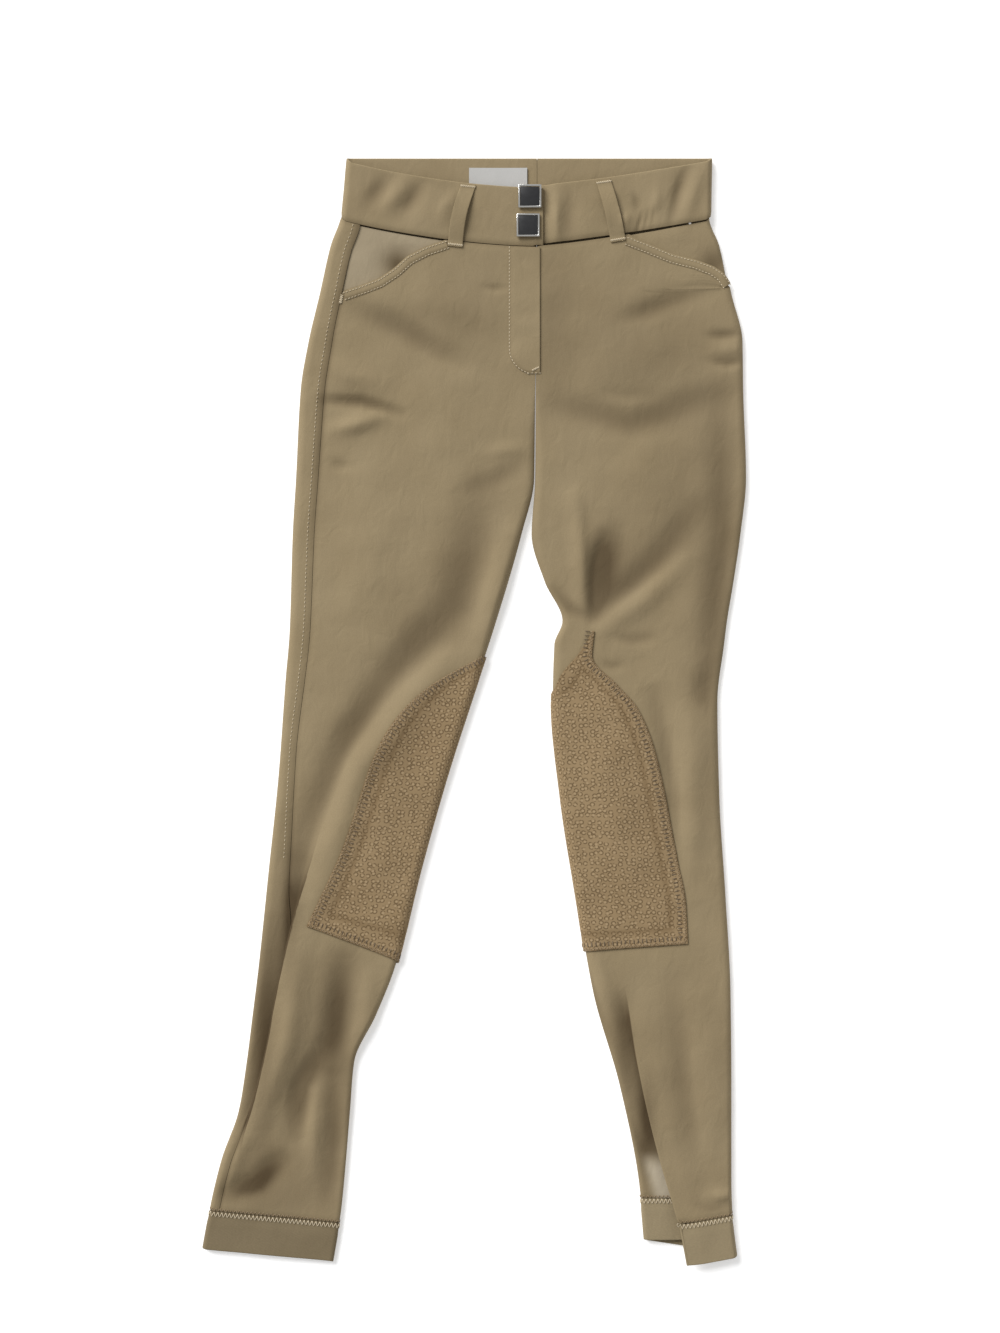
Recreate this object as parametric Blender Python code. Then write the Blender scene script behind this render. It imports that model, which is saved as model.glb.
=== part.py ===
"""Riding breeches laid flat, front up, waist towards +Y.

The garment is worked out one leg at a time. A section across a leg is a ring: the
girth g runs from 0 at the outer side fold, over the front, to 1 at the inner fold,
and on under the back to 2, which is the outer fold again; under the back it is also
written from -1 to 0. The level is the height along the garment at the outer fold.
Above the crotch the inner fold opens and the
two sides meet at the centre front and the centre back. Every piece is made from
points of these rings, moved in or out by the thickness of the cloth.
Sizes are in millimetres until the meshes are made.
"""
import bpy
import bmesh
import numpy as np

MM = 0.001

# Cloth
SEAM_GAP = 0.3
TWILL = 1.2
BAND_CLOTH = 2.4
CUFF_CLOTH = 1.8
PATCH_CLOTH = 1.2
FACING_CLOTH = 1.0
LOOP_CLOTH = 1.0
LABEL_CLOTH = 0.6

# Lengths along the garment
WAIST_LEVEL = 428.0
BAND_HEIGHT = 50.5
CROTCH_LEVEL = 202.0
OPEN_LEVEL = 290.0        # the inner fold starts to close here
CUFF_LEVEL = {"right": -431.0, "left": -434.5}
CUFF_HEIGHT = {"right": 33.5, "left": 36.3}
CENTRE_X = 54.0

# The front waist seam dips to the centre by this much, along 1 - (1 - a) ** power
WAIST_DIP = -27.0
DIP_POWER = {"right": 2.0, "left": 1.4}
DIP_FADE = 120.0
# The hem runs out of level by this much at the inner fold
HEM_TILT = {"right": -12.0, "left": 13.5}
HEM_TILT_AT_LIP = {"right": None, "left": -8.5}
HEM_FADE = (-300.0, -425.0)
HEM_EASE = 1.8            # the cuff's seam is this much slacker inside the left lap

# The lowest the front may lie, over the back and the pocket facing
LEAST_TOP = 4.8
UNDER_BAND = 1.3          # the back waistband lies on its belt loops
LOOPS_RAMP = (402.0, 424.0)  # the back rises on to them between these levels
UNDER_PATCH = PATCH_CLOTH + SEAM_GAP

ROLL_SHARE = 0.1          # the share of g that turns round each fold

OUTLINE_COLUMNS = ("level", "outer", "inner")
OUTLINE = {
    "right": (
        (480.0, -110.1, 54.6),
        (428.0, -115.3, 54.6),
        (403.0, -124.0, 54.3),
        (361.0, -133.5, 54.0),
        (320.0, -143.1, 53.6),
        (278.0, -150.0, 53.2),
        (202.0, -154.0, 52.5),
        (153.0, -156.9, 41.6),
        (70.0, -159.5, 17.3),
        (28.0, -163.0, 3.5),
        (-55.0, -169.1, -23.4),
        (-138.0, -177.7, -46.8),
        (-221.0, -186.4, -67.6),
        (-263.0, -191.6, -84.1),
        (-304.0, -196.8, -103.0),
        (-346.0, -203.7, -106.6),
        (-388.0, -218.5, -110.1),
        (-431.0, -228.9, -114.3),
        (-480.0, -238.0, -122.2),
    ),
    "left": (
        (480.0, 206.3, 54.6),
        (428.0, 205.5, 54.6),
        (403.0, 214.1, 54.3),
        (361.0, 222.8, 54.0),
        (320.0, 232.4, 53.6),
        (278.0, 233.0, 53.2),
        (202.0, 235.5, 52.5),
        (153.0, 230.6, 49.4),
        (112.0, 224.6, 60.7),
        (78.0, 219.0, 76.0),
        (58.0, 216.5, 69.0),
        (8.0, 210.7, 67.6),
        (-75.0, 212.4, 75.4),
        (-159.0, 217.6, 88.4),
        (-242.0, 222.0, 102.3),
        (-325.0, 222.8, 125.7),
        (-408.0, 222.8, 142.2),
        (-434.0, 223.7, 144.6),
        (-480.0, 229.0, 148.5),
    ),
}

# Height of the front over the surface, and the width of the folds' round edges
THICKNESS_COLUMNS = ("level", "top", "roll")
THICKNESS = (
    (480.0, 10.4, 5.0),
    (428.0, 10.4, 5.0),
    (380.0, 8.6, 6.0),
    (290.0, 8.8, 7.0),
    (202.0, 9.0, 7.5),
    (40.0, 8.8, 7.0),
    (-160.0, 8.2, 6.5),
    (-340.0, 7.4, 5.5),
    (-430.0, 6.8, 4.2),
    (-480.0, 6.6, 4.0),
)
FOLD_HEIGHT = 3.7         # the side folds' widest point over the surface

# The outseam, measured in from the outer fold; below nothing it is on the underside
OUTSEAM_COLUMNS = ("level", "inset")
OUTSEAM = {
    "right": (
        (428.0, 17.0), (361.0, 18.5), (300.0, 21.0), (200.0, 19.5), (40.0, 17.5),
        (-35.0, 14.0), (-138.0, 18.5), (-206.0, 21.5), (-289.0, 16.5), (-340.0, 11.0),
        (-388.0, 8.5), (-480.0, 8.5),
    ),
    "left": ((428.0, -20.0), (200.0, -22.0), (-480.0, -18.0)),
}

# Where the cloth laps over itself down the shin: the lip's place, its drop towards
# the outline's -X side, and how far it is drawn over the cloth below it
LIP_COLUMNS = ("level", "x", "drop", "tuck")
LIP = {
    "right": (
        (428.0, -60.0, 0.0, 0.0),
        (40.0, -112.0, 0.0, 0.0),
        (-80.0, -131.0, 0.0, 0.0),
        (-128.0, -142.5, 1.2, 0.6),
        (-182.0, -156.9, 3.0, 1.6),
        (-250.0, -171.7, 3.8, 1.8),
        (-289.0, -178.6, 3.4, 1.7),
        (-336.0, -191.6, 2.4, 1.2),
        (-372.0, -204.0, 0.8, 0.4),
        (-392.0, -206.0, 0.0, 0.0),
        (-480.0, -214.0, 0.0, 0.0),
    ),
    "left": (
        (428.0, 140.0, 0.0, 0.0),
        (40.0, 112.0, 0.0, 0.0),
        (-225.0, 124.0, 0.0, 0.0),
        (-255.0, 130.0, 1.4, 0.7),
        (-308.0, 142.2, 4.6, 1.7),
        (-367.0, 157.8, 6.0, 1.8),
        (-443.0, 180.0, 6.4, 1.8),
        (-480.0, 187.0, 6.4, 1.8),
    ),
}
LIP_WIDTH = 5.5
LIP_STEP = 0.8 * LIP_WIDTH  # the step up to the lip takes this much each side of it
LIP_DIP = 0.22            # the share of the drop by which both sides dip at the lip
TUCK_PEAK = 2.33          # makes the tuck the full shift of the cloth at the lip
LIP_REACH = 55.0          # the raised side sinks back over this distance
LIP_SPAN = 1.6            # the columns of the mesh gather this many widths each side
LAP_GAP = 0.6             # what the outseam's gap gains where it lies inside the lap

# The largest creases and swells of the front, each along three points. Its columns are
# x0, y0, x1, y1, x2, y2, width, height.
FOLDS_TOP = (418.0, 385.0)      # they die out towards the waist
FOLDS_FOOT = (-434.0, -415.0)   # and towards the hems
FOLD_ENDS = 0.35          # the share of its height that each keeps at its ends
FOLDS = (
    (-104.9, 349.4, -58.0, 329.0, -12.1, 300.9, 11.0, -1.8),
    (-124.0, 242.8, -101.0, 240.0, -78.0, 234.1, 8.0, 1.6),
    (6.9, 181.2, -16.5, 92.8, -60.7, 39.0, 18.0, -2.6),
    (31.0, 150.0, 18.0, 100.0, 4.0, 55.0, 10.0, 1.8),
    (-45.0, 69.4, -108.0, -24.0, -150.0, -125.0, 13.0, -2.4),
    (-28.6, 39.0, -100.0, -50.0, -136.0, -160.0, 14.0, 3.0),
    (-150.0, -199.4, -160.0, -279.2, -190.0, -366.0, 12.0, 3.0),
    (-131.8, -290.4, -149.1, -325.0, -153.5, -364.0, 9.0, -2.6),
    (-111.0, -218.5, -119.0, -262.0, -122.2, -306.0, 12.0, -2.0),
    (-167.3, -392.7, -187.0, -410.0, -209.8, -422.2, 9.0, -1.6),
    (72.8, 264.4, 138.0, 247.0, 217.6, 276.6, 13.0, -1.8),
    (214.2, 269.6, 216.0, 150.0, 199.4, 11.3, 12.0, -1.8),
    (90.5, 172.0, 95.0, 125.0, 101.4, 84.0, 8.0, -3.6),
    (189.0, 173.4, 158.0, 122.0, 104.0, 84.0, 15.0, -2.6),
    (156.0, 15.6, 170.8, -62.4, 177.7, -132.7, 8.0, -1.6),
    (190.0, 0.0, 188.0, -60.0, 189.0, -130.0, 12.0, 2.2),
)

# Pocket mouths, from the waist seam to the side, as x and y
POCKET = {
    "right": ((-24.7, 407.0), (-42.5, 401.0), (-58.0, 393.0), (-69.4, 382.5),
              (-82.7, 373.7), (-95.4, 368.8), (-113.0, 363.0)),
    "left": ((134.0, 410.0), (152.6, 403.0), (172.5, 394.8), (192.5, 389.8),
             (207.6, 384.1), (216.5, 378.0), (222.0, 370.0)),
}
POCKET_BAND_WIDTH = 8.5
POCKET_LAP = 9.0          # how far the facing runs on under the front
POCKET_SUNK = TWILL + 0.8
POCKET_RUN_OUT = 4.0      # the mouth drops this much more on its way to the outseam
NO_POCKET = -9.0          # a girth below every other
BAND_SEAT = (0.4, 1.7)    # the band's height over the front, at the waist and the side

# Knee patches: the edge on the front, as level and x, down to the lower corner
PATCH_COLUMNS = ("level", "x")
PATCH = {
    "right": ((47.0, 8.0), (36.5, -13.0), (21.0, -39.0), (-1.0, -62.7), (-24.3, -78.9),
              (-50.0, -90.6), (-86.0, -102.3), (-120.5, -114.4), (-151.7, -128.3),
              (-185.5, -144.4)),
    "left": ((69.0, 104.0), (48.0, 101.9), (22.5, 124.0), (3.8, 140.5), (-25.7, 153.5),
             (-67.6, 163.9), (-98.8, 170.0), (-131.0, 176.4), (-166.5, 183.0),
             (-201.0, 184.7)),
}
PATCH_FOOT = {"right": (-185.5, -218.0), "left": (-201.0, -208.0)}
PATCH_UNDER_TOP = 12.0    # how far it wraps on under the leg, at its top
PATCH_UNDER = 46.0        # and at its widest
PATCH_RAMP = (14.0, 0.12)  # the back comes down to the surface over this length and girth
PATCH_MARGIN = 2.0
PATCH_CORNER = 4.0        # its last row of facets is this tall at the corner

# Fly placket
FLY_LEFT, FLY_RIGHT = 29.8, 57.2
FLY_FOOT = 291.5
FLY_CORNER = 22.0
TAB_END = 60.0
UNDERLAP_END = 36.0
UNDERLAP_DROP = BAND_CLOTH + SEAM_GAP
TAB_RISE = 1.2            # the tab's lower edge clears the left front

# Belt loops: top and bottom centres as x, and half the width
FRONT_LOOPS = {"right": (-4.6, -16.2), "left": (111.6, 124.6)}
BACK_LOOPS = {"right": -60.0, "centre": 54.0, "left": 168.0}
LOOP_HALF_WIDTH = 6.4
LOOP_BOW = 3.0

# Snap fasteners
SNAP_SIZE = 20.0
SNAP_BAR = 1.6
SNAP_DEPTH = 2.6
PLATE_DEPTH = 1.9
SNAPS = {"upper": (48.2, 444.2), "lower": (46.7, 419.2)}

LABEL_BOX = (-4.3, 46.0, 453.5, 470.0)

TAN = (0.33, 0.25, 0.14)
SUEDE = (0.26, 0.18, 0.10)


def column(rows, names, name):
    """One column of a table, as an array."""
    return np.array([row[names.index(name)] for row in rows], dtype=float)


def smooth(rows, names, name, at):
    """A table's column at any level, on a smooth curve that never overshoots."""
    levels = column(rows, names, names[0])[::-1]
    values = column(rows, names, name)[::-1]
    step = np.diff(levels)
    slope = np.diff(values) / step
    tangent = np.zeros_like(values)
    same_way = slope[:-1] * slope[1:] > 0
    mean = 2 * slope[:-1] * slope[1:] / np.where(same_way, slope[:-1] + slope[1:], 1.0)
    tangent[1:-1] = np.where(same_way, mean, 0.0)
    tangent[0], tangent[-1] = slope[0], slope[-1]
    at = np.clip(at, levels[0], levels[-1])
    i = np.clip(np.searchsorted(levels, at) - 1, 0, len(step) - 1)
    h = step[i]
    t = (at - levels[i]) / h
    return (
        (2 * t**3 - 3 * t**2 + 1) * values[i]
        + (t**3 - 2 * t**2 + t) * h * tangent[i]
        + (3 * t**2 - 2 * t**3) * values[i + 1]
        + (t**3 - t**2) * h * tangent[i + 1]
    )


def ease(start, end, value):
    """0 at start, 1 at end, with soft ends; start may be over end."""
    t = np.clip((value - start) / (end - start), 0.0, 1.0)
    return t * t * (3 - 2 * t)


def outer_x(side, level):
    return smooth(OUTLINE[side], OUTLINE_COLUMNS, "outer", level)


def inner_x(side, level):
    return smooth(OUTLINE[side], OUTLINE_COLUMNS, "inner", level)


def width_at(side, level):
    return np.abs(inner_x(side, level) - outer_x(side, level))


def roll_at(level):
    return smooth(THICKNESS, THICKNESS_COLUMNS, "roll", level)


def closing(level):
    """0 where the two sides meet at the centre, 1 where each leg is a ring."""
    return ease(OPEN_LEVEL, CROTCH_LEVEL + 4.0, level)


def folds(x, y):
    """The swells and creases of the front at a point."""
    total = np.zeros(np.broadcast(x, y).shape)
    for x0, y0, x1, y1, x2, y2, width, height in FOLDS:
        nearest = np.full(total.shape, 1e9)
        along = np.zeros(total.shape)
        ends = ((x0, y0, x1, y1, 0.0), (x1, y1, x2, y2, 0.5))
        for ax, ay, bx, by, start in ends:
            length = (bx - ax) ** 2 + (by - ay) ** 2
            t = np.clip(((x - ax) * (bx - ax) + (y - ay) * (by - ay)) / length, 0, 1)
            away = np.hypot(x - ax - t * (bx - ax), y - ay - t * (by - ay))
            closer = away < nearest
            nearest = np.where(closer, away, nearest)
            along = np.where(closer, start + t / 2, along)
        ends_fade = FOLD_ENDS + (1 - FOLD_ENDS) * np.sin(np.pi * along)
        total = total + height * ends_fade * np.exp(-((nearest / width) ** 2))
    return total


def lip_at(side, level):
    """The lip's x, drop and tuck at a level."""
    return [smooth(LIP[side], LIP_COLUMNS, name, level) for name in LIP_COLUMNS[1:]]


def top_height(x, y, side=None, level=None, flat_x=None):
    """Height of the front's outer face over the surface."""
    height = smooth(THICKNESS, THICKNESS_COLUMNS, "top", y)
    height = height + folds(x, y) * ease(*FOLDS_TOP, y) * ease(*FOLDS_FOOT, y)
    if side:
        at, drop, _ = lip_at(side, level)
        across = flat_x - at
        sink = np.exp(-np.maximum(across, 0.0) / LIP_REACH)
        height = height + drop * sink * ease(-LIP_STEP, LIP_STEP, across)
        height = height - LIP_DIP * drop * ease(3 * LIP_WIDTH, 0.0, np.abs(across))
    return np.maximum(height, LEAST_TOP)


def hem_offset(side, a, level, on_top):
    """How far a section runs off level across the leg, towards the hem."""
    fade = ease(*HEM_FADE, level)
    tilt = HEM_TILT[side]
    straight = tilt * a
    if HEM_TILT_AT_LIP[side] is None:
        return fade * straight
    at = girth_of_x(side, level, lip_at(side, level)[0])
    lap = 0.05
    over = HEM_TILT_AT_LIP[side] * a / at
    stepped = over + (tilt - over) * ease(at - lap, at + lap, a)
    return fade * np.where(on_top, stepped, straight)


def girth_of_x(side, level, x):
    """The girth on the front whose flat place across the leg is x."""
    roll = roll_at(level)
    share = (np.abs(x - outer_x(side, level)) - roll) / (width_at(side, level) - 2 * roll)
    return ROLL_SHARE + (1 - 2 * ROLL_SHARE) * share


def patch_rows(side):
    """The levels between which a leg's back is held off the surface by its patch."""
    return PATCH[side][0][0] + PATCH_MARGIN, min(PATCH_FOOT[side]) - PATCH_MARGIN


def patch_under(side, level):
    """How much of the girth, on under the leg from the inseam, the patch covers."""
    top, foot = patch_rows(side)
    more = (PATCH_UNDER - PATCH_UNDER_TOP) * ease(top, (top + foot) / 2, level)
    return (PATCH_UNDER_TOP + more) / width_at(side, level)


def under_lift(side, a, level, width):
    """How far the back is held off the surface by what lies under it."""
    loops = UNDER_BAND * ease(*LOOPS_RAMP, level)
    top, foot = patch_rows(side)
    length, girth = PATCH_RAMP
    along = ease(top + length, top, level) * ease(foot - length, foot, level)
    edge = patch_under(side, level) + PATCH_MARGIN / width
    return loops + UNDER_PATCH * along * ease(edge + girth, edge, 1 - a)


def point(side, level, g, front_end=None):
    """The outer face of the cloth at a level and a girth.

    front_end carries the front on past the centre, to that x, for the waistband.
    """
    level, g = np.broadcast_arrays(np.asarray(level, float), np.asarray(g, float))
    g = np.mod(g + 1.0, 2.0) - 1.0
    on_top = g >= 0
    a = np.abs(g)
    start = outer_x(side, level)
    dip = WAIST_DIP * ease(WAIST_LEVEL - DIP_FADE, WAIST_LEVEL, level)
    dip = np.where(on_top, dip, 0.0)
    reach = np.clip(a, 0.0, 1.0)
    y = level + dip * (1 - (1 - reach) ** DIP_POWER[side])
    y = y + hem_offset(side, a, level, on_top)
    end_y = level + dip + hem_offset(side, np.ones_like(a), level, on_top)
    way = 1.0 if side == "right" else -1.0
    end = inner_x(side, end_y) - way * SEAM_GAP / 2
    if front_end is not None:
        end = np.where(on_top, front_end, end)
    width = np.abs(end - start)
    roll = roll_at(level)

    outer_turn = np.clip(a / ROLL_SHARE, 0, 1) * np.pi / 2
    inner_turn = np.clip((1 - a) / ROLL_SHARE, 0, 1) * np.pi / 2
    middle = np.clip((a - ROLL_SHARE) / (1 - 2 * ROLL_SHARE), 0, 1)
    closed = closing(level)
    inner_roll = roll * (0.5 + 0.5 * closed)
    across = (
        roll * (1 - np.cos(outer_turn))
        + middle * (width - roll - inner_roll)
        + inner_roll * np.cos(inner_turn)
    )
    flat_x = start + way * across
    rise = np.sin(outer_turn) * (1 - closed + closed * np.sin(inner_turn))

    top = top_height(flat_x, y, side, level, flat_x)
    under = under_lift(side, a, level, width)
    z = FOLD_HEIGHT + (np.where(on_top, top, under) - FOLD_HEIGHT) * rise
    at, _, tuck = lip_at(side, level)
    t = (flat_x - at) / LIP_WIDTH
    drawn = TUCK_PEAK * tuck * t * np.exp(-t * t)
    x = np.where(on_top, flat_x - drawn, flat_x)
    return np.stack([x, y, z], axis=-1)


def moved_out(side, level, g, distance, front_end=None):
    """Points of the rings moved out along the cloth's normal; inwards if negative."""
    step = 0.004
    here = point(side, level, g, front_end)
    along = point(side, level + 0.5, g, front_end) - point(side, level - 0.5, g, front_end)
    inside = np.clip(np.mod(g + 1.0, 2.0) - 1.0, -0.9999, 0.9999)
    low, high = inside - step, inside + step
    wrap = closing(np.asarray(level, float)) < 0.5
    low = np.where(wrap, np.maximum(low, -1.0 + 1e-6), low)
    high = np.where(wrap, np.minimum(high, 1.0 - 1e-6), high)
    around = point(side, level, high, front_end) - point(side, level, low, front_end)
    normal = np.cross(around, along)
    normal /= np.linalg.norm(normal, axis=-1, keepdims=True)
    if side == "left":
        normal = -normal
    return here + normal * np.asarray(distance)[..., None]


def cloth_colour(name, rgb, roughness=0.85, metallic=0.0):
    material = bpy.data.materials.new(name)
    material.use_nodes = True
    shader = material.node_tree.nodes["Principled BSDF"]
    shader.inputs["Base Color"].default_value = (*rgb, 1.0)
    shader.inputs["Roughness"].default_value = roughness
    shader.inputs["Metallic"].default_value = metallic
    return material


def finish(name, mesh_builder, material, smooth_angle=np.radians(50.0)):
    """An object from a bmesh in millimetres, with its faces turned outwards."""
    bmesh.ops.recalc_face_normals(mesh_builder, faces=mesh_builder.faces)
    bmesh.ops.scale(mesh_builder, vec=(MM, MM, MM), verts=mesh_builder.verts)
    mesh = bpy.data.meshes.new(name)
    mesh_builder.to_mesh(mesh)
    mesh_builder.free()
    mesh.materials.append(material)
    mesh.shade_smooth()
    mesh.set_sharp_from_angle(angle=smooth_angle)
    thing = bpy.data.objects.new(name, mesh)
    bpy.context.scene.collection.objects.link(thing)
    return thing


def wall(name, outer, inner, material, ring=False):
    """A closed wall of cloth between two grids of points, rows by columns."""
    rows, columns = outer.shape[:2]
    build = bmesh.new()
    faces = []
    layers = []
    for grid in (outer, inner):
        layers.append([[build.verts.new(p) for p in row] for row in grid])
    across = range(columns) if ring else range(columns - 1)
    for i in range(rows - 1):
        for j in across:
            k = (j + 1) % columns
            for layer in layers:
                faces.append([layer[i][j], layer[i][k], layer[i + 1][k]])
                faces.append([layer[i][j], layer[i + 1][k], layer[i + 1][j]])
    for i in (0, rows - 1):
        for j in across:
            k = (j + 1) % columns
            faces.append([layers[0][i][j], layers[0][i][k], layers[1][i][k], layers[1][i][j]])
    if not ring:
        for j in (0, columns - 1):
            for i in range(rows - 1):
                faces.append(
                    [layers[0][i][j], layers[0][i + 1][j], layers[1][i + 1][j], layers[1][i][j]]
                )
    for face in faces:
        build.faces.new(face)
    return finish(name, build, material)


def spread(stops, counts):
    """Columns between the stops of each row, with a count for each stretch."""
    parts = []
    for first, last, count in zip(stops[:-1], stops[1:], counts):
        share = np.linspace(0, 1, count + 1)[:-1]
        parts.append(first[:, None] + (last - first)[:, None] * share)
    parts.append(stops[-1][:, None])
    return np.concatenate(parts, axis=1)


def outseam_gap(side, level):
    """Half the girth between the panels at the outseam, wider inside the lap."""
    lapped = ease(0.0, 2.0, lip_at(side, level)[1]) if side == "right" else 0.0
    return (SEAM_GAP + LAP_GAP * lapped) / 2 / width_at(side, level)


def outseam_girth(side, level):
    """The girth of the outseam: over nothing on the front, under it on the back."""
    inset = smooth(OUTSEAM[side], OUTSEAM_COLUMNS, "inset", level)
    roll = roll_at(level)
    beyond = (np.abs(inset) - roll) / (width_at(side, level) - 2 * roll)
    return np.sign(inset) * (ROLL_SHARE + (1 - 2 * ROLL_SHARE) * beyond)


def girth_on_top(side, level, x, front_end=None):
    """The girth on the front at a level whose point has this x, by bisection."""
    level, x = np.broadcast_arrays(np.asarray(level, float), np.asarray(x, float))
    low, high = np.zeros(x.shape), np.ones(x.shape) - 1e-6
    way = 1.0 if side == "right" else -1.0
    for _ in range(24):
        middle = (low + high) / 2
        beyond = way * (point(side, level, middle, front_end)[..., 0] - x) > 0
        high = np.where(beyond, middle, high)
        low = np.where(beyond, low, middle)
    return (low + high) / 2


def place_of(side, x, y):
    """The level and the girth of the front's point at x and y."""
    level = np.array(y, float)
    for _ in range(16):
        g = girth_on_top(side, level, x)
        level = level + y - point(side, level, g)[..., 1]
    return level, g


def pocket_line(side, count):
    """Evenly spaced points of the pocket mouth, as x and y."""
    line = np.array(POCKET[side])
    run = np.concatenate([[0], np.cumsum(np.hypot(*np.diff(line, axis=0).T))])
    at = np.linspace(0, run[-1], count)
    return np.stack([np.interp(at, run, line[:, i]) for i in (0, 1)], axis=-1)


def pocket_mouth(side):
    """The pocket mouth as levels and girths, from the waist seam to the outseam."""
    line = pocket_line(side, 9)
    level, g = place_of(side, line[:, 0], line[:, 1])
    level[0] = WAIST_LEVEL
    level = np.append(level, level[-1] - POCKET_RUN_OUT)
    return level, np.append(g, outseam_girth(side, level[-1]))


def pocket_girth(side, level):
    """Where the pocket mouth crosses each level, or NO_POCKET below the mouth."""
    mouth_level, mouth_g = pocket_mouth(side)
    return np.interp(level, mouth_level[::-1], mouth_g[::-1], left=NO_POCKET)


def edge_gap():
    """The girth that is half a seam's gap, beside the inner fold."""
    turn = np.pi / 2 * (FOLD_HEIGHT + 1.0)
    return SEAM_GAP / 2 / turn * ROLL_SHARE


LEVELS = (
    (WAIST_LEVEL, 418.0, 408.0, 399.0, 390.0, 380.0, 371.0, 364.0, 345.0, 315.0, 285.0)
    + (255.0, 228.0, 206.0, 185.0, 155.0, 122.0, 97.0, 82.0, 60.0, 28.0, -5.0, -45.0, -90.0)
    + (-138.0, -250.0, -290.0, -330.0, -365.0, -397.0)
)


def panel_levels(side):
    """The levels of both panels, from just under the waist seam to the cuff."""
    own = {PATCH[side][0][0], PATCH_FOOT[side][0], patch_rows(side)[1], CUFF_LEVEL[side]}
    rows = sorted(set(LEVELS) | own, reverse=True)
    rows = np.array(rows)
    rows[0] -= SEAM_GAP / 2
    rows[-1] += SEAM_GAP / 2
    return rows


def patch_edge(side, level):
    """The girth of the patch's edge on the front, carried on above and below it."""
    edge = girth_of_x(side, level, smooth(PATCH[side], PATCH_COLUMNS, "x", level))
    return np.clip(edge, 0.2, 0.95)


def front_girths(side, level):
    """The columns of a front, from the outseam or the pocket mouth to the inseam."""
    width = width_at(side, level)
    seam = outseam_girth(side, level) + outseam_gap(side, level)
    start = np.maximum(seam, pocket_girth(side, level))
    lip = girth_of_x(side, level, lip_at(side, level)[0])
    near = LIP_SPAN * LIP_WIDTH / width
    edge = patch_edge(side, level)
    turn = np.maximum(0.9, edge + 0.02)
    end = 1 - edge_gap() + 0 * level
    if side == "right":
        lip = np.maximum(lip, start + near + 0.03)
        edge = np.maximum(edge, lip + near + 0.01)
        return spread([start, lip - near, lip + near, edge, turn, end], (2, 4, 2, 2, 3))
    below = ease(-212.0, -250.0, level)
    edge = edge + (np.minimum(edge, lip - near - 0.03) - edge) * below
    loose = (edge + turn) / 2
    lip = loose + (lip - loose) * below
    near = (turn - edge) / 4 + (near - (turn - edge) / 4) * below
    back_turn = np.where(start < -0.1, -0.1, start + (edge - start) * 0.15)
    front_turn = np.where(start < -0.1, 0.1, start + (edge - start) * 0.4)
    stops = [start, back_turn, front_turn, edge, lip - near, lip + near, turn, end]
    return spread(stops, (1, 4, 2, 1, 5, 1, 3))


def back_girths(side, level):
    """The columns of a back, from the inseam under the leg to the outseam."""
    width = width_at(side, level)
    end = outseam_girth(side, level) - outseam_gap(side, level)
    start = -1 + edge_gap() + 0 * level
    turn = np.full_like(level, -0.9)
    patch = -1 + np.maximum(patch_under(side, level) + PATCH_MARGIN / width, 0.11)
    ramp = patch + PATCH_RAMP[1]
    if side == "left":
        return spread([start, turn, patch, ramp, end], (2, 1, 1, 2))
    over = np.minimum(0.1, end - 0.02)
    under = np.full_like(level, -0.1)
    return spread([start, turn, patch, ramp, under, over, end], (2, 1, 1, 1, 4, 2))


def panel(name, side, g, material):
    """A wall of twill through the rings of one side, on the given columns."""
    level = panel_levels(side)[:, None] + 0 * g
    return wall(
        name,
        moved_out(side, level, g, 0 * g),
        moved_out(side, level, g, 0 * g - TWILL),
        material,
    )


def waistband(side, material):
    """Half of the waistband: centre back, round the side fold, to the front end."""
    level = np.linspace(WAIST_LEVEL + SEAM_GAP / 2, WAIST_LEVEL + BAND_HEIGHT, 3)
    front_end = TAB_END if side == "right" else UNDERLAP_END
    ends = [-1 + 1e-6, -0.1, 0.1]
    if side == "right":
        ends += list(girth_on_top(side, level[0], [20.0, 50.0, CENTRE_X + 0.5], front_end))
        counts = (4, 6, 8, 2, 1, 1)
    else:
        lap = [TAB_END + 12.0, TAB_END + 1.5]
        ends += list(girth_on_top(side, level[0], lap, front_end))
        counts = (4, 6, 9, 2, 2)
    g = spread([np.full(3, end) for end in ends + [0.999999]], counts)
    rows = level[:, None] + 0 * g
    outer = moved_out(side, rows, g, 0 * g, front_end)
    inner = moved_out(side, rows, g, 0 * g - BAND_CLOTH, front_end)
    for grid in (outer, inner):
        if side == "left":
            lapped = (g > 0) * ease(TAB_END + 12.0, TAB_END + 1.5, grid[..., 0])
            grid[..., 2] -= UNDERLAP_DROP * lapped
        else:
            past = (g > 0) * ease(CENTRE_X - 4.0, CENTRE_X + 0.5, grid[..., 0])
            grid[0, :, 1] += TAB_RISE * past[0]
    return wall(f"waistband_{side}", outer, inner, material)


def cuff(side, material):
    """A leg cuff: a closed ring of doubled cloth."""
    level = CUFF_LEVEL[side] - np.linspace(SEAM_GAP / 2, CUFF_HEIGHT[side], 3)
    seam = np.full(3, CUFF_LEVEL[side] + SEAM_GAP / 2)
    g = np.concatenate(
        [front_girths(side, seam)[:, :-1], back_girths(side, seam)[:, :-1]], axis=1
    )
    rows = level[:, None] + 0 * g
    at = girth_of_x(side, level[:1], lip_at(side, level[:1])[0])
    if side == "left":
        rows[0] -= HEM_EASE * np.exp(-(((g[0] - at) / 0.09) ** 2))
    return wall(
        f"cuff_{side}",
        moved_out(side, rows, g, 0 * g),
        moved_out(side, rows, g, 0 * g - CUFF_CLOTH),
        material,
        ring=True,
    )


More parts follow.
